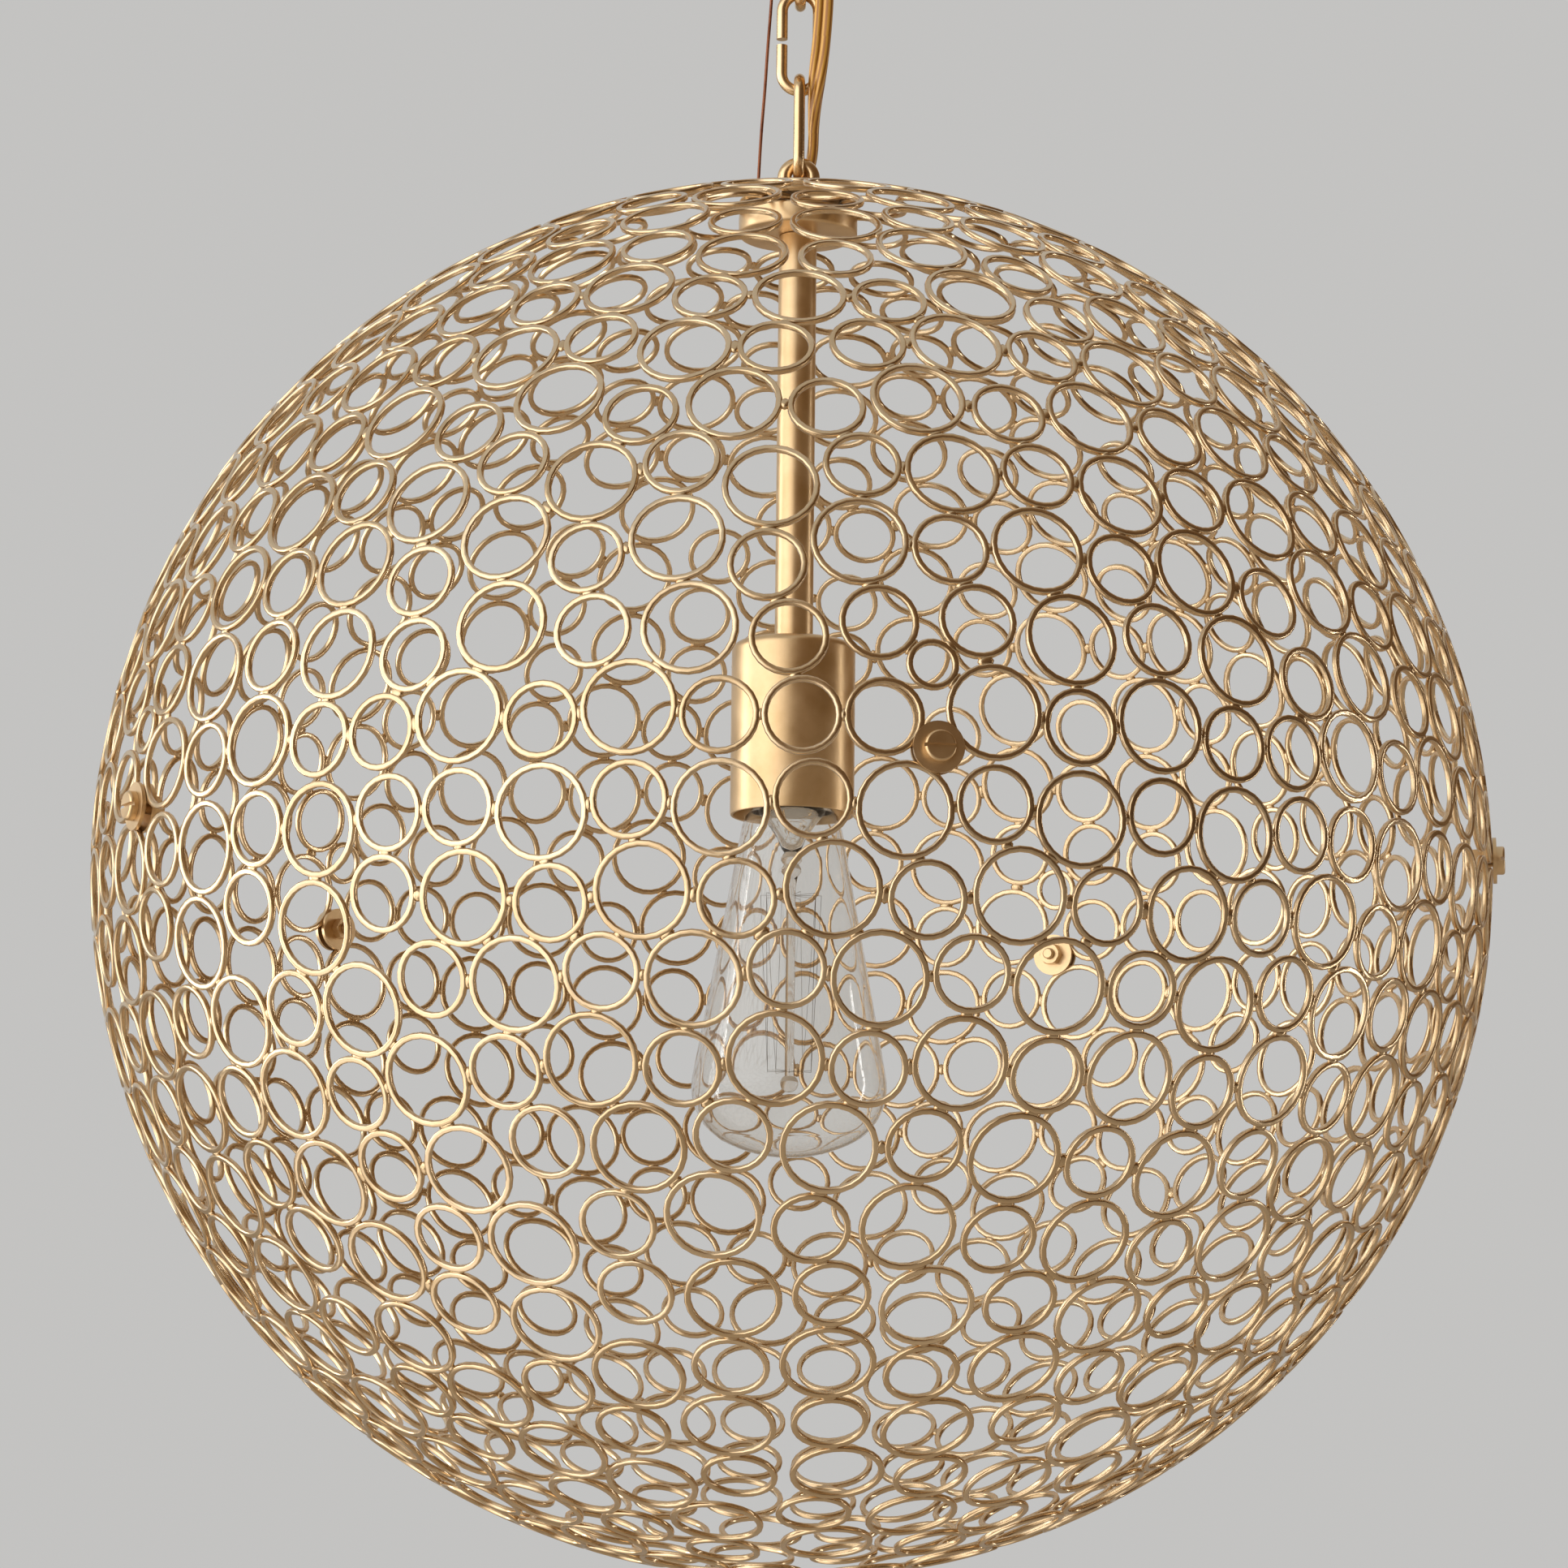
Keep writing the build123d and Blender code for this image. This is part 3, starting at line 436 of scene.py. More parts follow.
def bulb_profile(skin):
    """Outline of the glass from the neck's top to the tip, set in by a skin."""
    corner, crown, tip = corner_radius - skin, crown_radius - skin, bulb_tip + skin
    corner_level = tip + crown - math.sqrt((crown - corner) ** 2 - corner_out**2)
    points = [(radius - skin, level) for radius, level in neck_line]
    neck = Vector(points[-1])
    across = Vector((corner_out, corner_level)) - neck
    turn = math.atan2(across.y, across.x) + math.asin(corner / across.length)
    side = math.degrees(turn) + 90
    lean = math.degrees(math.atan2(corner_level - (tip + crown), corner_out))
    taper = Vector((math.cos(turn), math.sin(turn))) * math.sqrt(across.length**2 - corner**2)
    points += [tuple(neck + taper * k / taper_steps) for k in range(1, taper_steps)]
    points += arc_outline((corner_out, corner_level), corner, side, lean, 14)
    points += arc_outline((0, tip + crown), crown, lean, -90, 12)[1:-1]
    return points + [(0, tip)]


clear_glass, nodes, links, shader = shader_nodes("clear_glass")
shader.inputs["Transmission Weight"].default_value = 1.0
shader.inputs["IOR"].default_value = 1.46
shader.inputs["Base Color"].default_value = (0.985, 0.98, 0.965, 1)
smear = grain(nodes, links, scale=55)
links.new(spread_value(nodes, links, smear, 0.0, 0.02), shader.inputs["Roughness"])
ripple = grain(nodes, links, scale=38, detail=1.0)
raised(nodes, links, shader, ripple, strength=0.003, distance=0.0006)
mesh = turned(bulb_profile(0) + bulb_profile(glass_wall)[::-1], smooth_deg=60)
piece_of("bulb_envelope", mesh, clear_glass, "bulb", "glass", "bulb_glass")


# Bulb mount: the glass stem inside the bulb, with a flare, a press, a rod and a button at its end.
# It is fused to the bulb's neck and carries the filament's hooks.
rod_side, button_radius, button_level = 0.0015, 0.003, -0.45148
flare = [(0, -0.3742), (0.0024, -0.3725), (0.0040, -0.3690), (0.0076, -0.3643), (0.0102, -0.36175)]
flare += [(0.0110, -0.36148), (0.0112, -0.3619), (0.0084, -0.3652), (0.0048, -0.3704), (0.0033, -0.3740)]
press = [(0.0024, -0.3752), (0.0034, -0.3768), (0.0035, -0.3780), (0.0025, -0.3792), (0.0033, -0.3806)]
press += [(0.0033, -0.3818), (0.0022, -0.3832), (0.0018, -0.3850)]
rod = [(rod_side, -0.3870), (rod_side, -0.4492)]
button = arc_outline((0, button_level), button_radius, 50, -84, 10) + [(0, button_level - button_radius)]
mesh = turned(flare + press + rod + button, steps=32, smooth_deg=50)
piece_of("bulb_stem", mesh, clear_glass, "bulb", "glass", "bulb_mount")


# Filament: a cage of fine strands that run up and down between two rings of hooks on the glass rod.
# It is drawn wire, dull grey where it is cold.
filament_grey = plated("filament_grey", (0.30, 0.26, 0.21), (0.46, 0.40, 0.33), 0.40)
strands, strand_wire, hook_root = 10, 0.00013, 0.0012
upper_hooks, lower_hooks = (0.010, -0.38948), (0.0075, -0.44748)
hook_count = 2 * strands
zigzag = []
hooks = []
for i in range(hook_count):
    angle = math.pi * i / strands
    radius, level = lower_hooks if i % 2 else upper_hooks
    zigzag.append((radius * math.cos(angle), radius * math.sin(angle), level))
    hooks += [zigzag[-1], (hook_root * math.cos(angle), hook_root * math.sin(angle), level)]
strand_edges = [(i, (i + 1) % hook_count) for i in range(hook_count)]
hook_edges = [(hook_count + 2 * i, hook_count + 2 * i + 1) for i in range(hook_count)]
cage = bpy.data.meshes.new("cage")
cage.from_pydata(zigzag + hooks, strand_edges + hook_edges, [])
values = {"Wire Diameter": strand_wire, "Sides": 6, "Material": filament_grey}
mesh = run_tree(bent_wire, cage, values)
piece_of("filament_cage", mesh, filament_grey, "bulb", "filament", "bulb_filament")


# Globe: two half globes of rings bent from lightly flattened wire, welded where they touch and painted gold.
# Each row of rings rests on the row before it, from the seam at the middle to the poles.
# The sizes here and of the welds are in millimetres, and the angles are in degrees.
globe_centre = -383.15
wire, wire_flat, wire_corner, ring_steps = 2.0, 1.92, 0.5, 26
wire_sphere = 227.6
large_ring, small_ring, filler_ring = 28.6, 23.2, 15.4
weld_gap, seam_gap = 0.2, 0.8
clamp_count, clamp_lead, clamp_height = 5, 10.4, 3.0
washer_across, washer_bite = 15.0, 1.6
filler_lead, filler_room = -0.5, 0.75
pair_room, spare_room = 2.07, 1.05
lower_lead = -2.3
upper_leads = [4.9, -1.9, 10.4, 6.5, 0.2, -6.3, 5.0, -10.4, 10.9, 1.4, 6.6]
upper_odd_row = 3
lower_leads = [3.0, -7.2, -1.1, 3.3, 10.6, -5.2, 4.5, -7.3, 7.9, -14.4, 11.2, -12.0]
lower_odd_row = 11
sector = 360 / clamp_count
clamp_lons = [clamp_lead + sector * i for i in range(clamp_count)]
wire_angle = 2 * math.asin((wire + weld_gap) / (2 * wire_sphere))


def ring_reach(across):
    """Angle from a ring's middle to its wire, seen from the middle of the globe."""
    return math.asin((across / 2 - wire / 2) / wire_sphere)


def spacing(across, other):
    """Least angle between the middles of two neighbouring rings, in degrees."""
    return math.degrees(ring_reach(across) + ring_reach(other) + wire_angle)


def settled(lon, across, placed):
    """Least latitude at which a ring at this longitude clears the rings that are placed already."""
    lat = 0.0
    for other_lon, other_lat, other in placed:
        rise = math.sin(math.radians(other_lat))
        run = math.cos(math.radians(other_lat)) * math.cos(math.radians(lon - other_lon))
        nearest = math.cos(math.radians(spacing(across, other))) / math.hypot(rise, run)
        if run > 0 and nearest < 1:
            lat = max(lat, math.degrees(math.atan2(rise, run) + math.acos(nearest)))
    return lat


def rim_latitude(across, edge):
    """Latitude of a ring whose wire has its lowest edge at a height above the seam."""
    return math.degrees(ring_reach(across) + math.asin((edge + wire / 2) / wire_sphere))


def spread_out(sizes, first, last, closed):
    """Longitudes of a run of rings between two longitudes, with the spare room shared evenly."""
    steps = [spacing(a, b) for a, b in zip(sizes, sizes[1:])]
    if closed:
        steps.append(spacing(sizes[-1], sizes[0]))
    spare = (last - first - sum(steps)) / len(steps)
    places = [first]
    for step in steps[: len(sizes) - 1]:
        places.append(places[-1] + step + spare)
    return places


def sector_sizes(arc, closed):
    """Sizes of the rings that fill one clamp's sector best."""
    best = None
    pair_step = spacing(large_ring, small_ring)
    small_step = spacing(small_ring, small_ring)
    for pairs in range(2, int(arc / (2 * pair_step)) + 2):
        paired = pair_step * (2 * pairs if closed else 2 * pairs - 1)
        spare = int((arc - paired) / small_step)
        if arc >= paired and spare <= pairs:
            left = arc - paired - spare * small_step
            if best is None or left < best[0]:
                best = (left, pairs, spare)
    pairs, spare = best[1], best[2]
    early = (pairs + 1) // 2
    in_middle = spare - spare * 2 // 3
    sizes = [large_ring, small_ring] * early + [small_ring] * in_middle
    return sizes + [large_ring, small_ring] * (pairs - early) + [small_ring] * (spare - in_middle)


def clamp_side(across):
    """Longitude from a clamp to a ring of the first upper row that its washers grip."""
    reach = across / 2 + washer_across / 2 - washer_bite
    rise = across / 2 - clamp_height
    return math.degrees(math.sqrt(reach**2 - rise**2) / wire_sphere)


def upper_rim():
    """First upper row: rings that stand on the seam, with a gap for each clamp."""
    first = clamp_side(large_ring)
    last = sector - clamp_side(small_ring)
    sizes = sector_sizes(last - first, closed=False)
    places = list(zip(spread_out(sizes, first, last, closed=False), sizes))
    return [(clamp + lon, rim_latitude(size, 0), size) for clamp in clamp_lons for lon, size in places]


def fillers(rim):
    """One smaller ring above each clamp, resting on the two rings beside it."""
    offset = (clamp_side(large_ring) - clamp_side(small_ring)) / 2 + filler_lead
    return [(c + offset, settled(c + offset, filler_ring, rim), filler_ring) for c in clamp_lons]


def upper_second(rim):
    """Second upper row: starts and ends with small rings beside each filler ring."""
    half_gap = spacing(small_ring, filler_ring) * filler_room
    arc = sector - 2 * half_gap
    pairs = int(arc / (pair_room * spacing(large_ring, small_ring)))
    sizes = [small_ring] + [large_ring, small_ring] * pairs
    spare = arc - sum(spacing(a, b) for a, b in zip(sizes, sizes[1:]))
    if spare > spare_room * spacing(small_ring, small_ring):
        sizes.append(small_ring)
    first, last = half_gap + filler_lead, sector - half_gap + filler_lead
    below = rim + fillers(rim)
    rings = []
    for clamp in clamp_lons:
        for lon, size in zip(spread_out(sizes, first, last, closed=False), sizes):
            rings.append((clamp + lon, settled(clamp + lon, size, below), size))
    return rings


def lower_rim():
    """First lower row: the same run of rings in each sector, with their top edges at the seam."""
    sizes = sector_sizes(sector, closed=True)
    rings = []
    for clamp in clamp_lons:
        first = clamp + lower_lead
        for lon, size in zip(spread_out(sizes, first, first + sector, closed=True), sizes):
            rings.append((lon, rim_latitude(size, seam_gap), size))
    return rings


def apart(ring, other):
    """Angle between the middles of two rings, in degrees."""
    lon = math.radians(ring[0] - other[0])
    lat, other_lat = math.radians(ring[1]), math.radians(other[1])
    dot = math.sin(lat) * math.sin(other_lat) + math.cos(lat) * math.cos(other_lat) * math.cos(lon)
    return math.degrees(math.acos(max(-1, min(1, dot))))


def filled_row(lead, odd, before, last):
    """A row of large and small rings by turns, settled on the two rows before it.

    An odd row has two small rings side by side at its lead."""
    step = spacing(large_ring, small_ring)
    level = sum(ring[1] for ring in last) / len(last) + step
    around = 360 * math.cos(math.radians(min(level, 90)))
    count = 2 * int(around / (2 * step)) + odd
    while count > 3:
        row = []
        for i in range(count):
            size = small_ring if (i + odd) % 2 else large_ring
            lon = lead + 360 * i / count
            row.append((lon, settled(lon, size, before + last), size))
        if all(apart(a, b) >= spacing(a[2], b[2]) for a, b in zip(row, row[1:] + row[:1])):
            return row
        count -= 2
    return []


def half_globe(rows, leads, odd_row):
    """All rings of a half globe, from its first rows to the pole."""
    rings = [ring for row in rows for ring in row]
    before, last = (rows[-2] if len(rows) > 1 else []), rows[-1]
    for i, lead in enumerate(leads):
        row = filled_row(lead, int(i == odd_row), before, last)
        if not row:
            break
        rings += row
        before, last = last, row
    return rings


rim_rings = upper_rim()
upper_rows = [rim_rings + fillers(rim_rings), upper_second(rim_rings)]
upper_rings = half_globe(upper_rows, upper_leads, upper_odd_row)
lower_rings = half_globe([lower_rim()], lower_leads, lower_odd_row)
polar_room = min(90 - lat - math.degrees(ring_reach(size)) for lon, lat, size in lower_rings)
pole_ring = 2 * (wire_sphere * math.sin(math.radians(polar_room) - wire_angle) + wire / 2)
lower_rings = [(lon, -lat, size) for lon, lat, size in lower_rings]


def outwards(lon, lat):
    """Direction out of the globe at a longitude and latitude, in degrees."""
    east, north = math.radians(lon), math.radians(lat)
    return Vector((math.cos(north) * math.sin(east), -math.cos(north) * math.cos(east), math.sin(north)))


def ring_tree():
    """Rings of wire with a flattened section on points, each lying flat to its own outward direction."""
    tree, given, result = new_tree(
        "wire_rings",
        [("Ring Diameter", "Float", 0.02), ("Wire Diameter", "Float", 0.002), ("Ring Steps", "Int", 24)]
        + [("Corner Radius", "Float", 0.0005), ("Seed", "Int", 1), ("Material", "Material", None)],
    )
    nodes, links = tree.nodes, tree.links
    ring_size, wire_size = given.outputs["Ring Diameter"], given.outputs["Wire Diameter"]
    bend = reckoned(nodes, links, "MULTIPLY", reckoned(nodes, links, "SUBTRACT", ring_size, wire_size), 0.5)
    circle = nodes.new("GeometryNodeCurvePrimitiveCircle")
    bar = nodes.new("GeometryNodeCurvePrimitiveQuadrilateral")
    section = nodes.new("GeometryNodeFilletCurve")
    section.mode = "POLY"
    section.inputs["Count"].default_value = 2
    ring = nodes.new("GeometryNodeCurveToMesh")
    links.new(bend, circle.inputs["Radius"])
    links.new(given.outputs["Ring Steps"], circle.inputs["Resolution"])
    links.new(wire_size, bar.inputs["Width"])
    links.new(wire_size, bar.inputs["Height"])
    links.new(bar.outputs["Curve"], section.inputs["Curve"])
    links.new(given.outputs["Corner Radius"], section.inputs["Radius"])
    links.new(circle.outputs["Curve"], ring.inputs["Curve"])
    links.new(section.outputs["Curve"], ring.inputs["Profile Curve"])
    facing = nodes.new("GeometryNodeInputNamedAttribute")
    facing.data_type = "FLOAT_VECTOR"
    facing.inputs["Name"].default_value = "outward"
    turn = nodes.new("FunctionNodeAlignRotationToVector")
    turn.axis = "Z"
    tone = nodes.new("FunctionNodeRandomValue")
    tone.data_type = "FLOAT"
    copies = nodes.new("GeometryNodeInstanceOnPoints")
    keep_tone = nodes.new("GeometryNodeStoreNamedAttribute")
    keep_tone.data_type = "FLOAT"
    keep_tone.domain = "INSTANCE"
    keep_tone.inputs["Name"].default_value = "ring_tone"
    links.new(facing.outputs["Attribute"], turn.inputs["Vector"])
    links.new(given.outputs["Geometry"], copies.inputs["Points"])
    links.new(ring.outputs["Mesh"], copies.inputs["Instance"])
    links.new(turn.outputs["Rotation"], copies.inputs["Rotation"])
    links.new(given.outputs["Seed"], tone.inputs["Seed"])
    links.new(copies.outputs["Instances"], keep_tone.inputs["Geometry"])
    links.new([s for s in tone.outputs if s.enabled][0], keep_tone.inputs["Value"])
    finish_tree(tree, given, result, keep_tone.outputs["Geometry"])
    return tree


def placed_points(places):
    """A mesh of loose points that carry vectors, from a list of a point and its named vectors."""
    mesh = bpy.data.meshes.new("places")
    mesh.from_pydata([tuple(point) for point, vectors in places], [], [])
    for label in places[0][1]:
        layer = mesh.attributes.new(label, "FLOAT_VECTOR", "POINT")
        for i, (point, vectors) in enumerate(places):
            layer.data[i].vector = vectors[label]
    return mesh


def on_globe(outward, radius):
    """Point at a distance from the middle of the globe, in metres."""
    return (outward * radius + Vector((0, 0, globe_centre))) / 1000


ring_gold = gold_paint(
    "ring_gold", (0.68, 0.50, 0.295), (0.80, 0.62, 0.40), roughness=0.19, peel=0.012, tone="ring_tone"
)
wire_rings = ring_tree()
ring_sets = [
    ("upper_large", upper_rings, large_ring, "upper_large_rings"),
    ("upper_small", upper_rings, small_ring, "upper_small_rings"),
    ("filler", upper_rings, filler_ring, "filler_rings"),
    ("lower_large", lower_rings, large_ring, "lower_large_rings"),
    ("lower_small", lower_rings, small_ring, "lower_small_rings"),
    ("pole", [(0, -90, pole_ring)], pole_ring, "pole_ring"),
]
for seed, (label, rings, size, node) in enumerate(ring_sets):
    middle_radius = wire_sphere * math.cos(ring_reach(size))
    directions = [outwards(lon, lat) for lon, lat, across in rings if across == size]
    places = [(on_globe(outward, middle_radius), {"outward": outward}) for outward in directions]
    values = {
        "Ring Diameter": size / 1000,
        "Wire Diameter": wire_flat / 1000,
        "Corner Radius": wire_corner / 1000,
        "Ring Steps": ring_steps,
        "Seed": seed,
        "Material": ring_gold,
    }
    mesh = run_tree(wire_rings, placed_points(places), values)
    piece_of(f"{label}_wire_rings", mesh, ring_gold, "globe", "gold", node)


# Welds: a small bead of filler metal at each place where two rings of a half globe meet.
# The bead flows along both wires, and it is painted with them.
widest_weld, most_latitude = 1.5, 9
weld_bite, weld_along, weld_rise = 0.62, 2.3, 0.92


def weld_tree():
    """Small rounded beads on points, turned and stretched by the point's own vectors."""
    tree, given, result = new_tree("weld_beads", [("Seed", "Int", 1), ("Material", "Material", None)])
    nodes, links = tree.nodes, tree.links
    bead = nodes.new("GeometryNodeMeshUVSphere")
    bead.inputs["Segments"].default_value = 8
    bead.inputs["Rings"].default_value = 5
    bead.inputs["Radius"].default_value = 1.0
    readers = {}
    for label in ("across", "outward", "reach"):
        readers[label] = nodes.new("GeometryNodeInputNamedAttribute")
        readers[label].data_type = "FLOAT_VECTOR"
        readers[label].inputs["Name"].default_value = label
    turn = nodes.new("FunctionNodeAxesToRotation")
    turn.primary_axis = "Z"
    turn.secondary_axis = "X"
    vary = nodes.new("FunctionNodeRandomValue")
    vary.data_type = "FLOAT_VECTOR"
    vary.inputs["Min"].default_value = (0.95, 0.75, 0.85)
    vary.inputs["Max"].default_value = (1.05, 1.3, 1.2)
    size = nodes.new("ShaderNodeVectorMath")
    size.operation = "MULTIPLY"
    copies = nodes.new("GeometryNodeInstanceOnPoints")
    links.new(readers["outward"].outputs["Attribute"], turn.inputs["Primary Axis"])
    links.new(readers["across"].outputs["Attribute"], turn.inputs["Secondary Axis"])
    links.new(given.outputs["Seed"], vary.inputs["Seed"])
    links.new(readers["reach"].outputs["Attribute"], size.inputs[0])
    links.new([s for s in vary.outputs if s.enabled][0], size.inputs[1])
    links.new(given.outputs["Geometry"], copies.inputs["Points"])
    links.new(bead.outputs["Mesh"], copies.inputs["Instance"])
    links.new(turn.outputs["Rotation"], copies.inputs["Rotation"])
    links.new(size.outputs["Vector"], copies.inputs["Scale"])
    finish_tree(tree, given, result, copies.outputs["Instances"])
    return tree


def weld_places(rings):
    """Beads between rings whose wires are close enough to be welded."""
    places = []
    for i, ring in enumerate(rings):
        for other in rings[i + 1:]:
            if abs(ring[1] - other[1]) > most_latitude:
                continue
            angle = apart(ring, other)
            extra = math.radians(angle - spacing(ring[2], other[2]))
            gap = extra * wire_sphere + weld_gap
            if gap > widest_weld:
                continue
            a, b = outwards(ring[0], ring[1]), outwards(other[0], other[1])
            share = (ring_reach(ring[2]) + extra / 2 + wire_angle / 2) / math.radians(angle)
            middle = a.slerp(b, share)
            reach = Vector((gap / 2 + weld_bite * wire, weld_along, weld_rise)) / 1000
            vectors = {"outward": middle, "across": (b - a).normalized(), "reach": reach}
            places.append((on_globe(middle, wire_sphere), vectors))
    return places


weld_beads = weld_tree()
half_globes = {"upper": upper_rings, "lower": lower_rings + [(0, -90, pole_ring)]}
for seed, (half, rings) in enumerate(half_globes.items(), 20):
    values = {"Seed": seed, "Material": ring_gold}
    mesh = run_tree(weld_beads, placed_points(weld_places(rings)), values)
    piece_of(f"{half}_welds", mesh, ring_gold, "globe", "gold")


# Clamps: five screws at the seam, each with a washer outside and a washer and nut inside.
# The washers pinch the rings of both half globes, and all of it is painted gold.
for node in ("clamp_screws", "clamp_outer_washers", "clamp_inner_washers", "clamp_nuts"):
    dress(node, satin_gold)


# Lamp cord: a flat twin flex in clear amber plastic with stranded copper inside.
# It comes out of the canopy loop, hangs beside the chain and goes into the hang loop's flange.
def route_points(route, steps):
    """Points along a smooth spline that has the route's points as its control points."""
    curve = bpy.data.curves.new("route", "CURVE")
    curve.dimensions = "3D"
    spline = curve.splines.new("NURBS")
    spline.points.add(len(route) - 1)
    for place, point in zip(spline.points, route):
        place.co = (*point, 1)
    spline.order_u = 3
    spline.use_endpoint_u = True
    spline.resolution_u = steps
    carrier = bpy.data.objects.new("route", curve)
    bpy.context.scene.collection.objects.link(carrier)
    mesh = bpy.data.meshes.new_from_object(carrier)
    points = [v.co.copy() for v in mesh.vertices]
    bpy.data.objects.remove(carrier)
    bpy.data.curves.remove(curve)
    bpy.data.meshes.remove(mesh)
    return points


def cut_between(points, high, low):
    """The stretch of a line of points between two levels, with its ends on the levels."""
    part = []
    for a, b in zip(points, points[1:]):
        for level in (high, low):
            if (a.z - level) * (b.z - level) < 0:
                part.append(a.lerp(b, (a.z - level) / (a.z - b.z)))
        if low < b.z < high:
            part.append(b.copy())
    if low < points[0].z < high:
        part.insert(0, points[0].copy())
    return part


def drawn_along(points, section, facing, twist_deg=lambda level: 0, width=lambda level: 1):
    """A closed shape of a section drawn along points, with a UV map.

    Its twist from the facing direction and its width follow the level."""
    shape = bmesh.new()
    layer = shape.loops.layers.uv.new("along")
    rows = []
    runs = [0.0]
    for a, b in zip(points, points[1:]):
        runs.append(runs[-1] + (b - a).length)
    for i, point in enumerate(points):
        ahead = (points[min(i + 1, len(points) - 1)] - points[max(i - 1, 0)]).normalized()
        side = (facing - ahead * facing.dot(ahead)).normalized()
        side = Matrix.Rotation(math.radians(twist_deg(point.z)), 3, ahead) @ side
        front = ahead.cross(side)
        across = side * width(point.z)
        rows.append([shape.verts.new(point + across * x + front * y) for x, y in section])
    count = len(section)
    for i in range(len(rows) - 1):
        for k in range(count):
            n = (k + 1) % count
            face = shape.faces.new((rows[i][k], rows[i][n], rows[i + 1][n], rows[i + 1][k]))
            marks = [(k, i), (k + 1, i), (k + 1, i + 1), (k, i + 1)]
            for loop, (u, v) in zip(face.loops, marks):
                loop[layer].uv = (u / count, runs[v] * marks_per_metre)
    shape.faces.new(rows[0][::-1])
    shape.faces.new(rows[-1])
    return shape


def eased_step(value, low, high):
    """From 0 at low to 1 at high, with soft ends."""
    t = min(1, max(0, (value - low) / (high - low)))
    return t * t * (3 - 2 * t)


cord_route = [
    (0.0062, -0.0015, -0.03615), (0.0062, -0.0015, -0.04215), (0.0070, -0.0057, -0.05115),
    (0.0082, -0.0072, -0.06415), (0.0083, -0.0068, -0.08115), (0.0075, -0.0064, -0.09615),
    (0.0061, -0.0054, -0.10915), (0.0052, -0.0026, -0.11815), (0.0049, 0.0016, -0.12535),
    (0.0049, 0.0056, -0.13135), (0.0042, 0.0084, -0.13655), (0.0027, 0.0094, -0.14155),
    (0.0018, 0.0087, -0.14645), (0.0015, 0.0083, -0.15125),
]
span_levels = [0, -0.06625, -0.09655, -0.12685, -0.38315]
bend_levels = [(-0.0437, -0.0630), (-0.0720, -0.0940), (-0.1025, -0.1245), (-0.1325, -0.1495)]
marks_per_metre = 100
lobe = 0.00165
lobe_apart = 0.0015
web = 138
cord_section = arc_outline((lobe_apart, 0), lobe, -web, web, 14)
cord_section += arc_outline((-lobe_apart, 0), lobe, 180 - web, 180 + web, 14)
face_on, edge_on, turn_depths = 8, 84, (0.100, 0.129)
pinched, upper_hole, lower_hole = 0.82, (0.0410, 0.0470), (-0.1480, -0.1420)


def cord_twist(level):
    """Turn of the flat cord: it lies face on at the top and edge on beside the bottom link."""
    return face_on + (edge_on - face_on) * eased_step(-level, *turn_depths)


def cord_squeeze(level):
    """Width of the cord against its free width: its two holes pinch it."""
    free = eased_step(-level, *upper_hole) * eased_step(level, *lower_hole)
    return pinched + (1 - pinched) * free


amber_flex, nodes, links, shader = shader_nodes("amber_flex")
place = nodes.new("ShaderNodeUVMap")
place.uv_map = "along"
slant = nodes.new("ShaderNodeMapping")
slant.inputs["Scale"].default_value = (9.0, 0.16, 1)
slant.inputs["Rotation"].default_value = (0, 0, 0.10)
# Stripes along the flex: painted shade in the grooves between its lobes and painted highlights on the lobes.
painted_streak_wave = nodes.new("ShaderNodeTexWave")
painted_streak_wave.inputs["Scale"].default_value = 0.35
painted_streak_wave.inputs["Distortion"].default_value = 2.2
painted_streak_wave.inputs["Detail"].default_value = 2.0
painted_streak_wave.inputs["Detail Scale"].default_value = 1.4
links.new(place.outputs["UV"], slant.inputs["Vector"])
links.new(slant.outputs["Vector"], painted_streak_wave.inputs["Vector"])
painted_streaks = painted_streak_wave.outputs["Fac"]
# The dark amber is painted shade and the light amber is painted highlight, and the same pattern also gives a
# slight bump.
tone = two_tone(nodes, links, painted_streaks, (0.34, 0.135, 0.018), (0.78, 0.43, 0.085), start=0.1, stop=0.9)
links.new(tone, shader.inputs["Base Color"])
shader.inputs["Metallic"].default_value = 0.15
shader.inputs["Roughness"].default_value = 0.32
shader.inputs["Coat Weight"].default_value = 0.25
shader.inputs["Coat Roughness"].default_value = 0.2
raised(nodes, links, shader, painted_streaks, strength=0.2, distance=0.0002)
cord_line = route_points(cord_route, steps=8)
for i, (high, low) in enumerate(bend_levels):
    stretch = cut_between(cord_line, span_levels[i], span_levels[i + 1])
    shape = drawn_along(stretch, cord_section, Vector((1, 0, 0)), cord_twist, cord_squeeze)
    mesh = plain_mesh(shape, smooth_deg=60)
    span = piece_of(f"lamp_flex_{i + 1}", mesh, amber_flex, None, "amber_cord", f"lamp_cord_{i + 1}")
    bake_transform(span)


# Ground wire: a single bare copper wire from the canopy to a screw on the outer plate.
# It hangs loose on the other side of the chain and is hooked round the screw under its head.
ground_route = [
    (-0.0068, 0.0010, -0.03615), (-0.0068, 0.0010, -0.04215), (-0.0076, 0.0036, -0.05215),
    (-0.0093, 0.0052, -0.06715), (-0.0100, 0.0044, -0.08315), (-0.0110, 0.0024, -0.09815),
    (-0.0117, 0.0004, -0.11315), (-0.0126, -0.0016, -0.12615), (-0.0132, -0.0032, -0.13830),
    (-0.0135, -0.0039, -0.14630), (-0.0137, -0.0041, -0.15010), (-0.0142, -0.0053, -0.15170),
    (-0.0148, -0.0080, -0.15170),
]
bare_copper = plated("bare_copper", (0.20, 0.075, 0.045), (0.36, 0.15, 0.085), 0.42)
ground_radius = 0.00055
ground_section = arc_outline((0, 0), ground_radius, 0, 360, 10)[:-1]
ground_line = route_points(ground_route, steps=8)
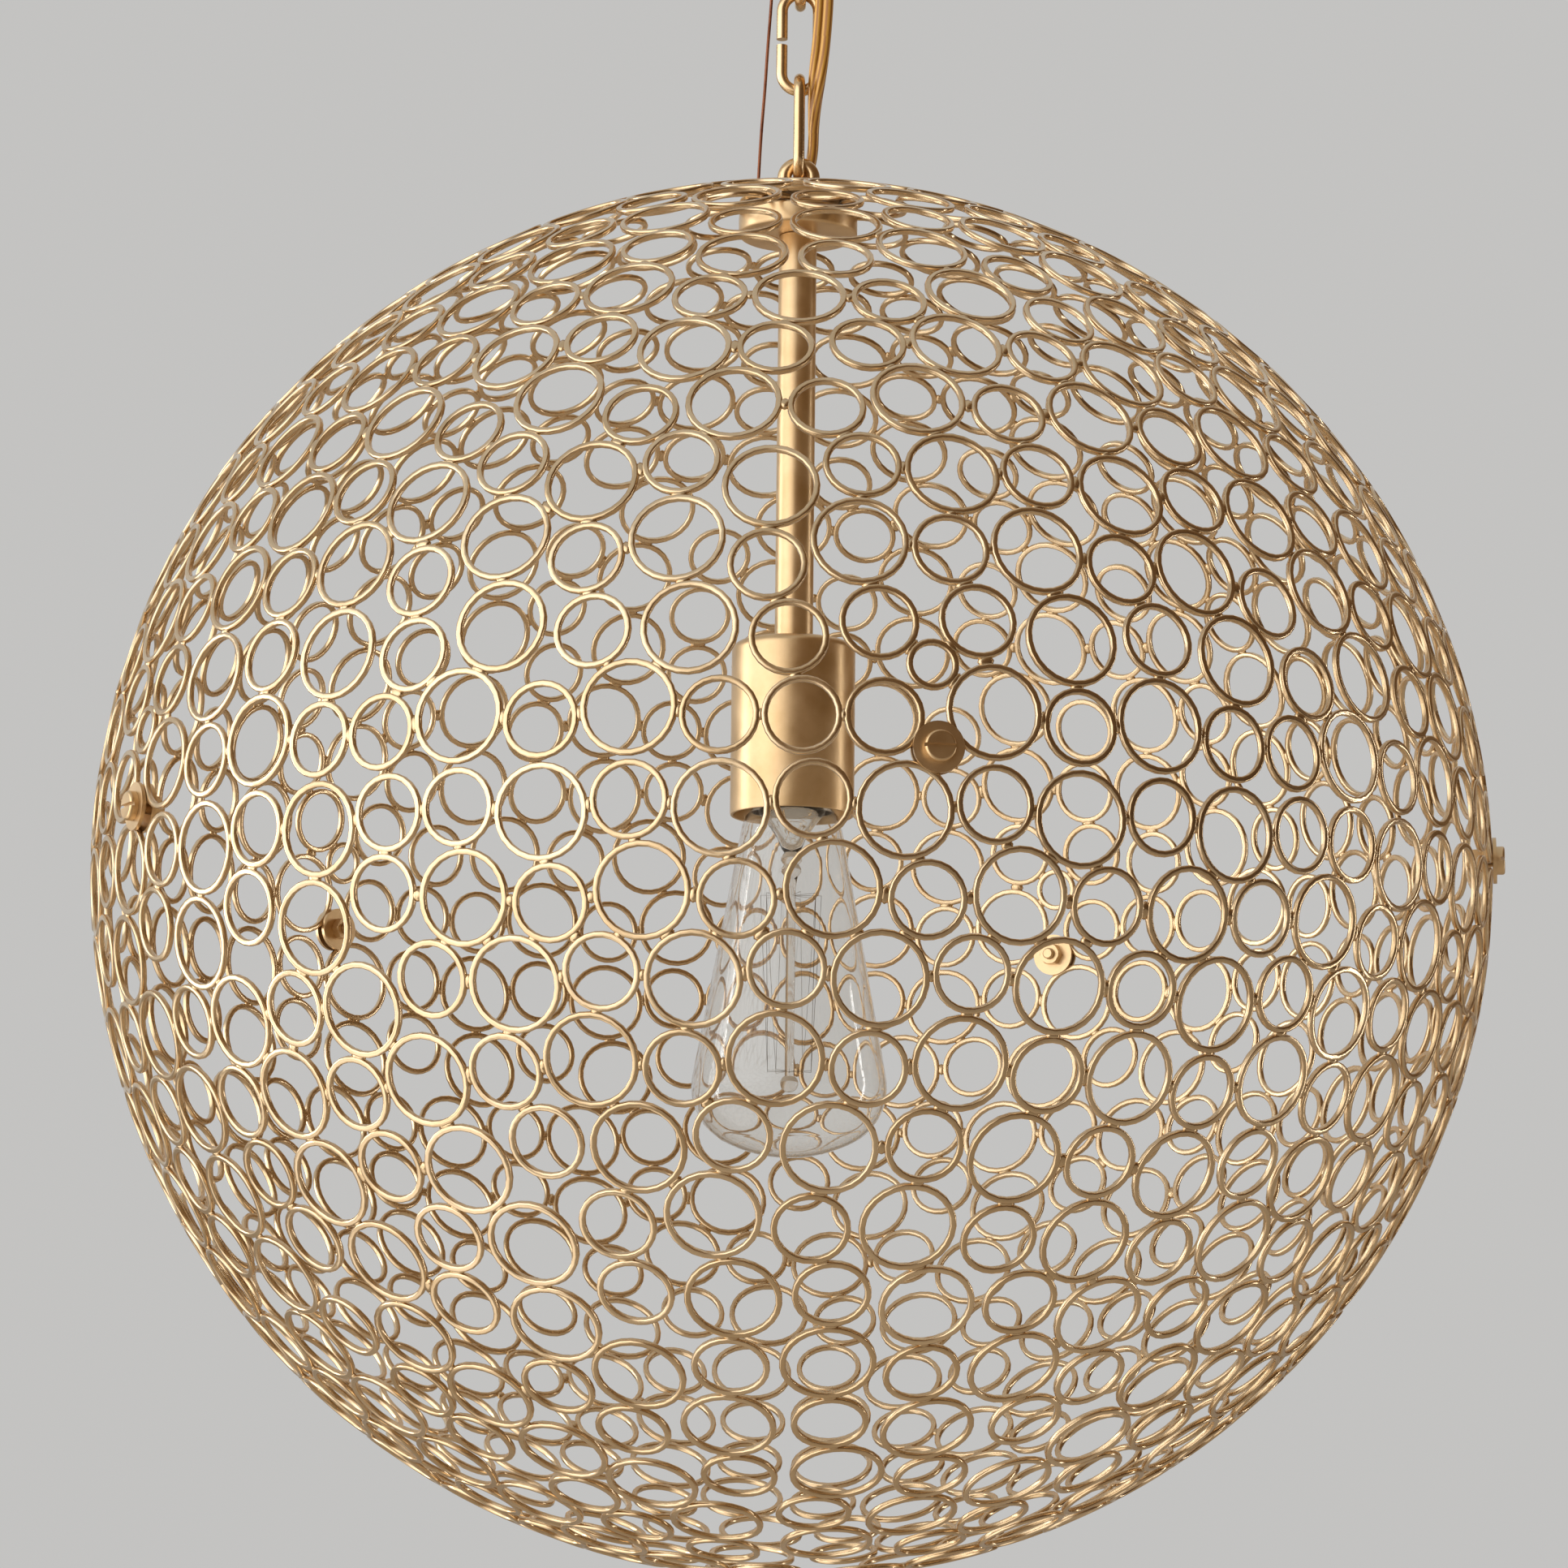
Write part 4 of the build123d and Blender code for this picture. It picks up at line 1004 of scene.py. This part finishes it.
for i, (high, low) in enumerate(bend_levels):
    stretch = cut_between(ground_line, span_levels[i], span_levels[i + 1])
    shape = drawn_along(stretch, ground_section, Vector((0.6, 0.8, 0)))
    mesh = plain_mesh(shape, smooth_deg=60)
    span = piece_of(f"ground_wire_span_{i + 1}", mesh, bare_copper, None, "copper", f"ground_wire_{i + 1}")
    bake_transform(span)


# Studio: a plain pale floor well below the pendant, and four soft rectangular lights.
# The main light is large and stands at the front left, and a narrow one stands at the right.
# The surroundings turn from pale grey to a warm brown towards the lower right, and the gold reflects them.
floor_level, floor_reach = -2.5, 25
floor_paint, nodes, links, shader = shader_nodes("floor_paint")
cloud = grain(nodes, links, scale=3)
tone = two_tone(nodes, links, cloud, (0.64, 0.565, 0.47), (0.66, 0.585, 0.49))
links.new(tone, shader.inputs["Base Color"])
shader.inputs["Roughness"].default_value = 0.8
shape = bmesh.new()
bmesh.ops.create_grid(shape, x_segments=1, y_segments=1, size=floor_reach)
bmesh.ops.translate(shape, verts=shape.verts, vec=(0, 0, floor_level))
floor_mesh = bpy.data.meshes.new("floor")
shape.to_mesh(floor_mesh)
shape.free()
floor_mesh.materials.append(floor_paint)
floor = bpy.data.objects.new("floor", floor_mesh)
bpy.context.scene.collection.objects.link(floor)


def soft_light(name, place, size, power, colour, through_glass=False):
    """A rectangular light that faces the globe's middle, unseen by the camera."""
    light = bpy.data.lights.new(name, "AREA")
    light.shape = "RECTANGLE"
    light.size, light.size_y = size
    light.energy = power
    light.color = colour
    light.spread = light_spread
    lamp = bpy.data.objects.new(name, light)
    bpy.context.scene.collection.objects.link(lamp)
    lamp.location = place
    lamp.rotation_euler = (light_aim - Vector(place)).to_track_quat("-Z", "Y").to_euler()
    lamp.visible_camera = False
    lamp.visible_transmission = through_glass


light_aim = Vector((0, 0, -0.38))
light_spread = math.radians(110)
plain_white, mild_white, warm_white = (1.0, 0.98, 0.96), (1.0, 0.98, 0.95), (1.0, 0.97, 0.93)
soft_light("left_back", (-2.36, 0.42, -0.30), (0.8, 1.9), 5.5, plain_white)
soft_light("right_narrow", (2.38, 0.40, -0.45), (0.11, 1.9), 2.3, mild_white, through_glass=True)
soft_light("left_large", (-1.9, -1.4, -0.20), (4.8, 4.0), 42, warm_white)
soft_light("left_low", (-1.25, -0.15, -1.62), (1.6, 1.3), 2.2, warm_white)

darkest_direction = (0.85, -0.30, -0.43)
room_tones = [
    (0.42, (0.55, 0.545, 0.535)),
    (0.50, (0.34, 0.26, 0.18)),
    (0.60, (0.150, 0.085, 0.038)),
    (0.80, (0.105, 0.058, 0.025)),
    (1.0, (0.05, 0.030, 0.015)),
]
world = bpy.data.worlds.new("room")
bpy.context.scene.world = world
world.use_nodes = True
nodes, links = world.node_tree.nodes, world.node_tree.links
back = nodes["Background"]
place = nodes.new("ShaderNodeTexCoord")
facing = nodes.new("ShaderNodeVectorMath")
facing.operation = "DOT_PRODUCT"
facing.inputs[1].default_value = darkest_direction
share = reckoned(nodes, links, "MULTIPLY_ADD", facing.outputs["Value"], 0.5, 0.5)
room = nodes.new("ShaderNodeValToRGB")
while len(room.color_ramp.elements) < len(room_tones):
    room.color_ramp.elements.new(1.0)
for stop, (position, colour) in zip(room.color_ramp.elements, room_tones):
    stop.position = position
    stop.color = (*colour, 1)
links.new(place.outputs["Generated"], facing.inputs[0])
links.new(share, room.inputs["Fac"])
links.new(room.outputs["Color"], back.inputs["Color"])
back.inputs["Strength"].default_value = 1.0


# Camera: it stands below the middle of the globe and looks slightly up, as the photograph does.
# It has a long lens, and it is turned and rolled a little to set the globe in the frame as it is there.
def swung(first, second, degrees):
    """Two square directions, turned from the first towards the second."""
    angle = math.radians(degrees)
    cos, sin = math.cos(angle), math.sin(angle)
    return first * cos + second * sin, second * cos - first * sin


image_width, focal_length, sensor_width = 1932, 5883, 36
eye = Vector((0, -1.5548, -0.2388))
pan, tilt, roll = -0.099, 1.113, 0.6
camera_data = bpy.data.cameras.new("camera")
camera_data.sensor_width = sensor_width
camera_data.lens = focal_length / image_width * sensor_width
camera = bpy.data.objects.new("camera", camera_data)
bpy.context.scene.collection.objects.link(camera)
bpy.context.scene.camera = camera
ahead = -eye.normalized()
right = Vector((1, 0, 0))
up = right.cross(ahead)
ahead, right = swung(ahead, right, pan)
ahead, up = swung(ahead, up, tilt)
right, up = swung(right, up, roll)
pose = Matrix((right, up, -ahead)).transposed().to_4x4()
pose.translation = eye + Vector((0, 0, globe_centre / 1000))
camera.matrix_world = pose

bpy.context.scene.view_settings.view_transform = "Standard"
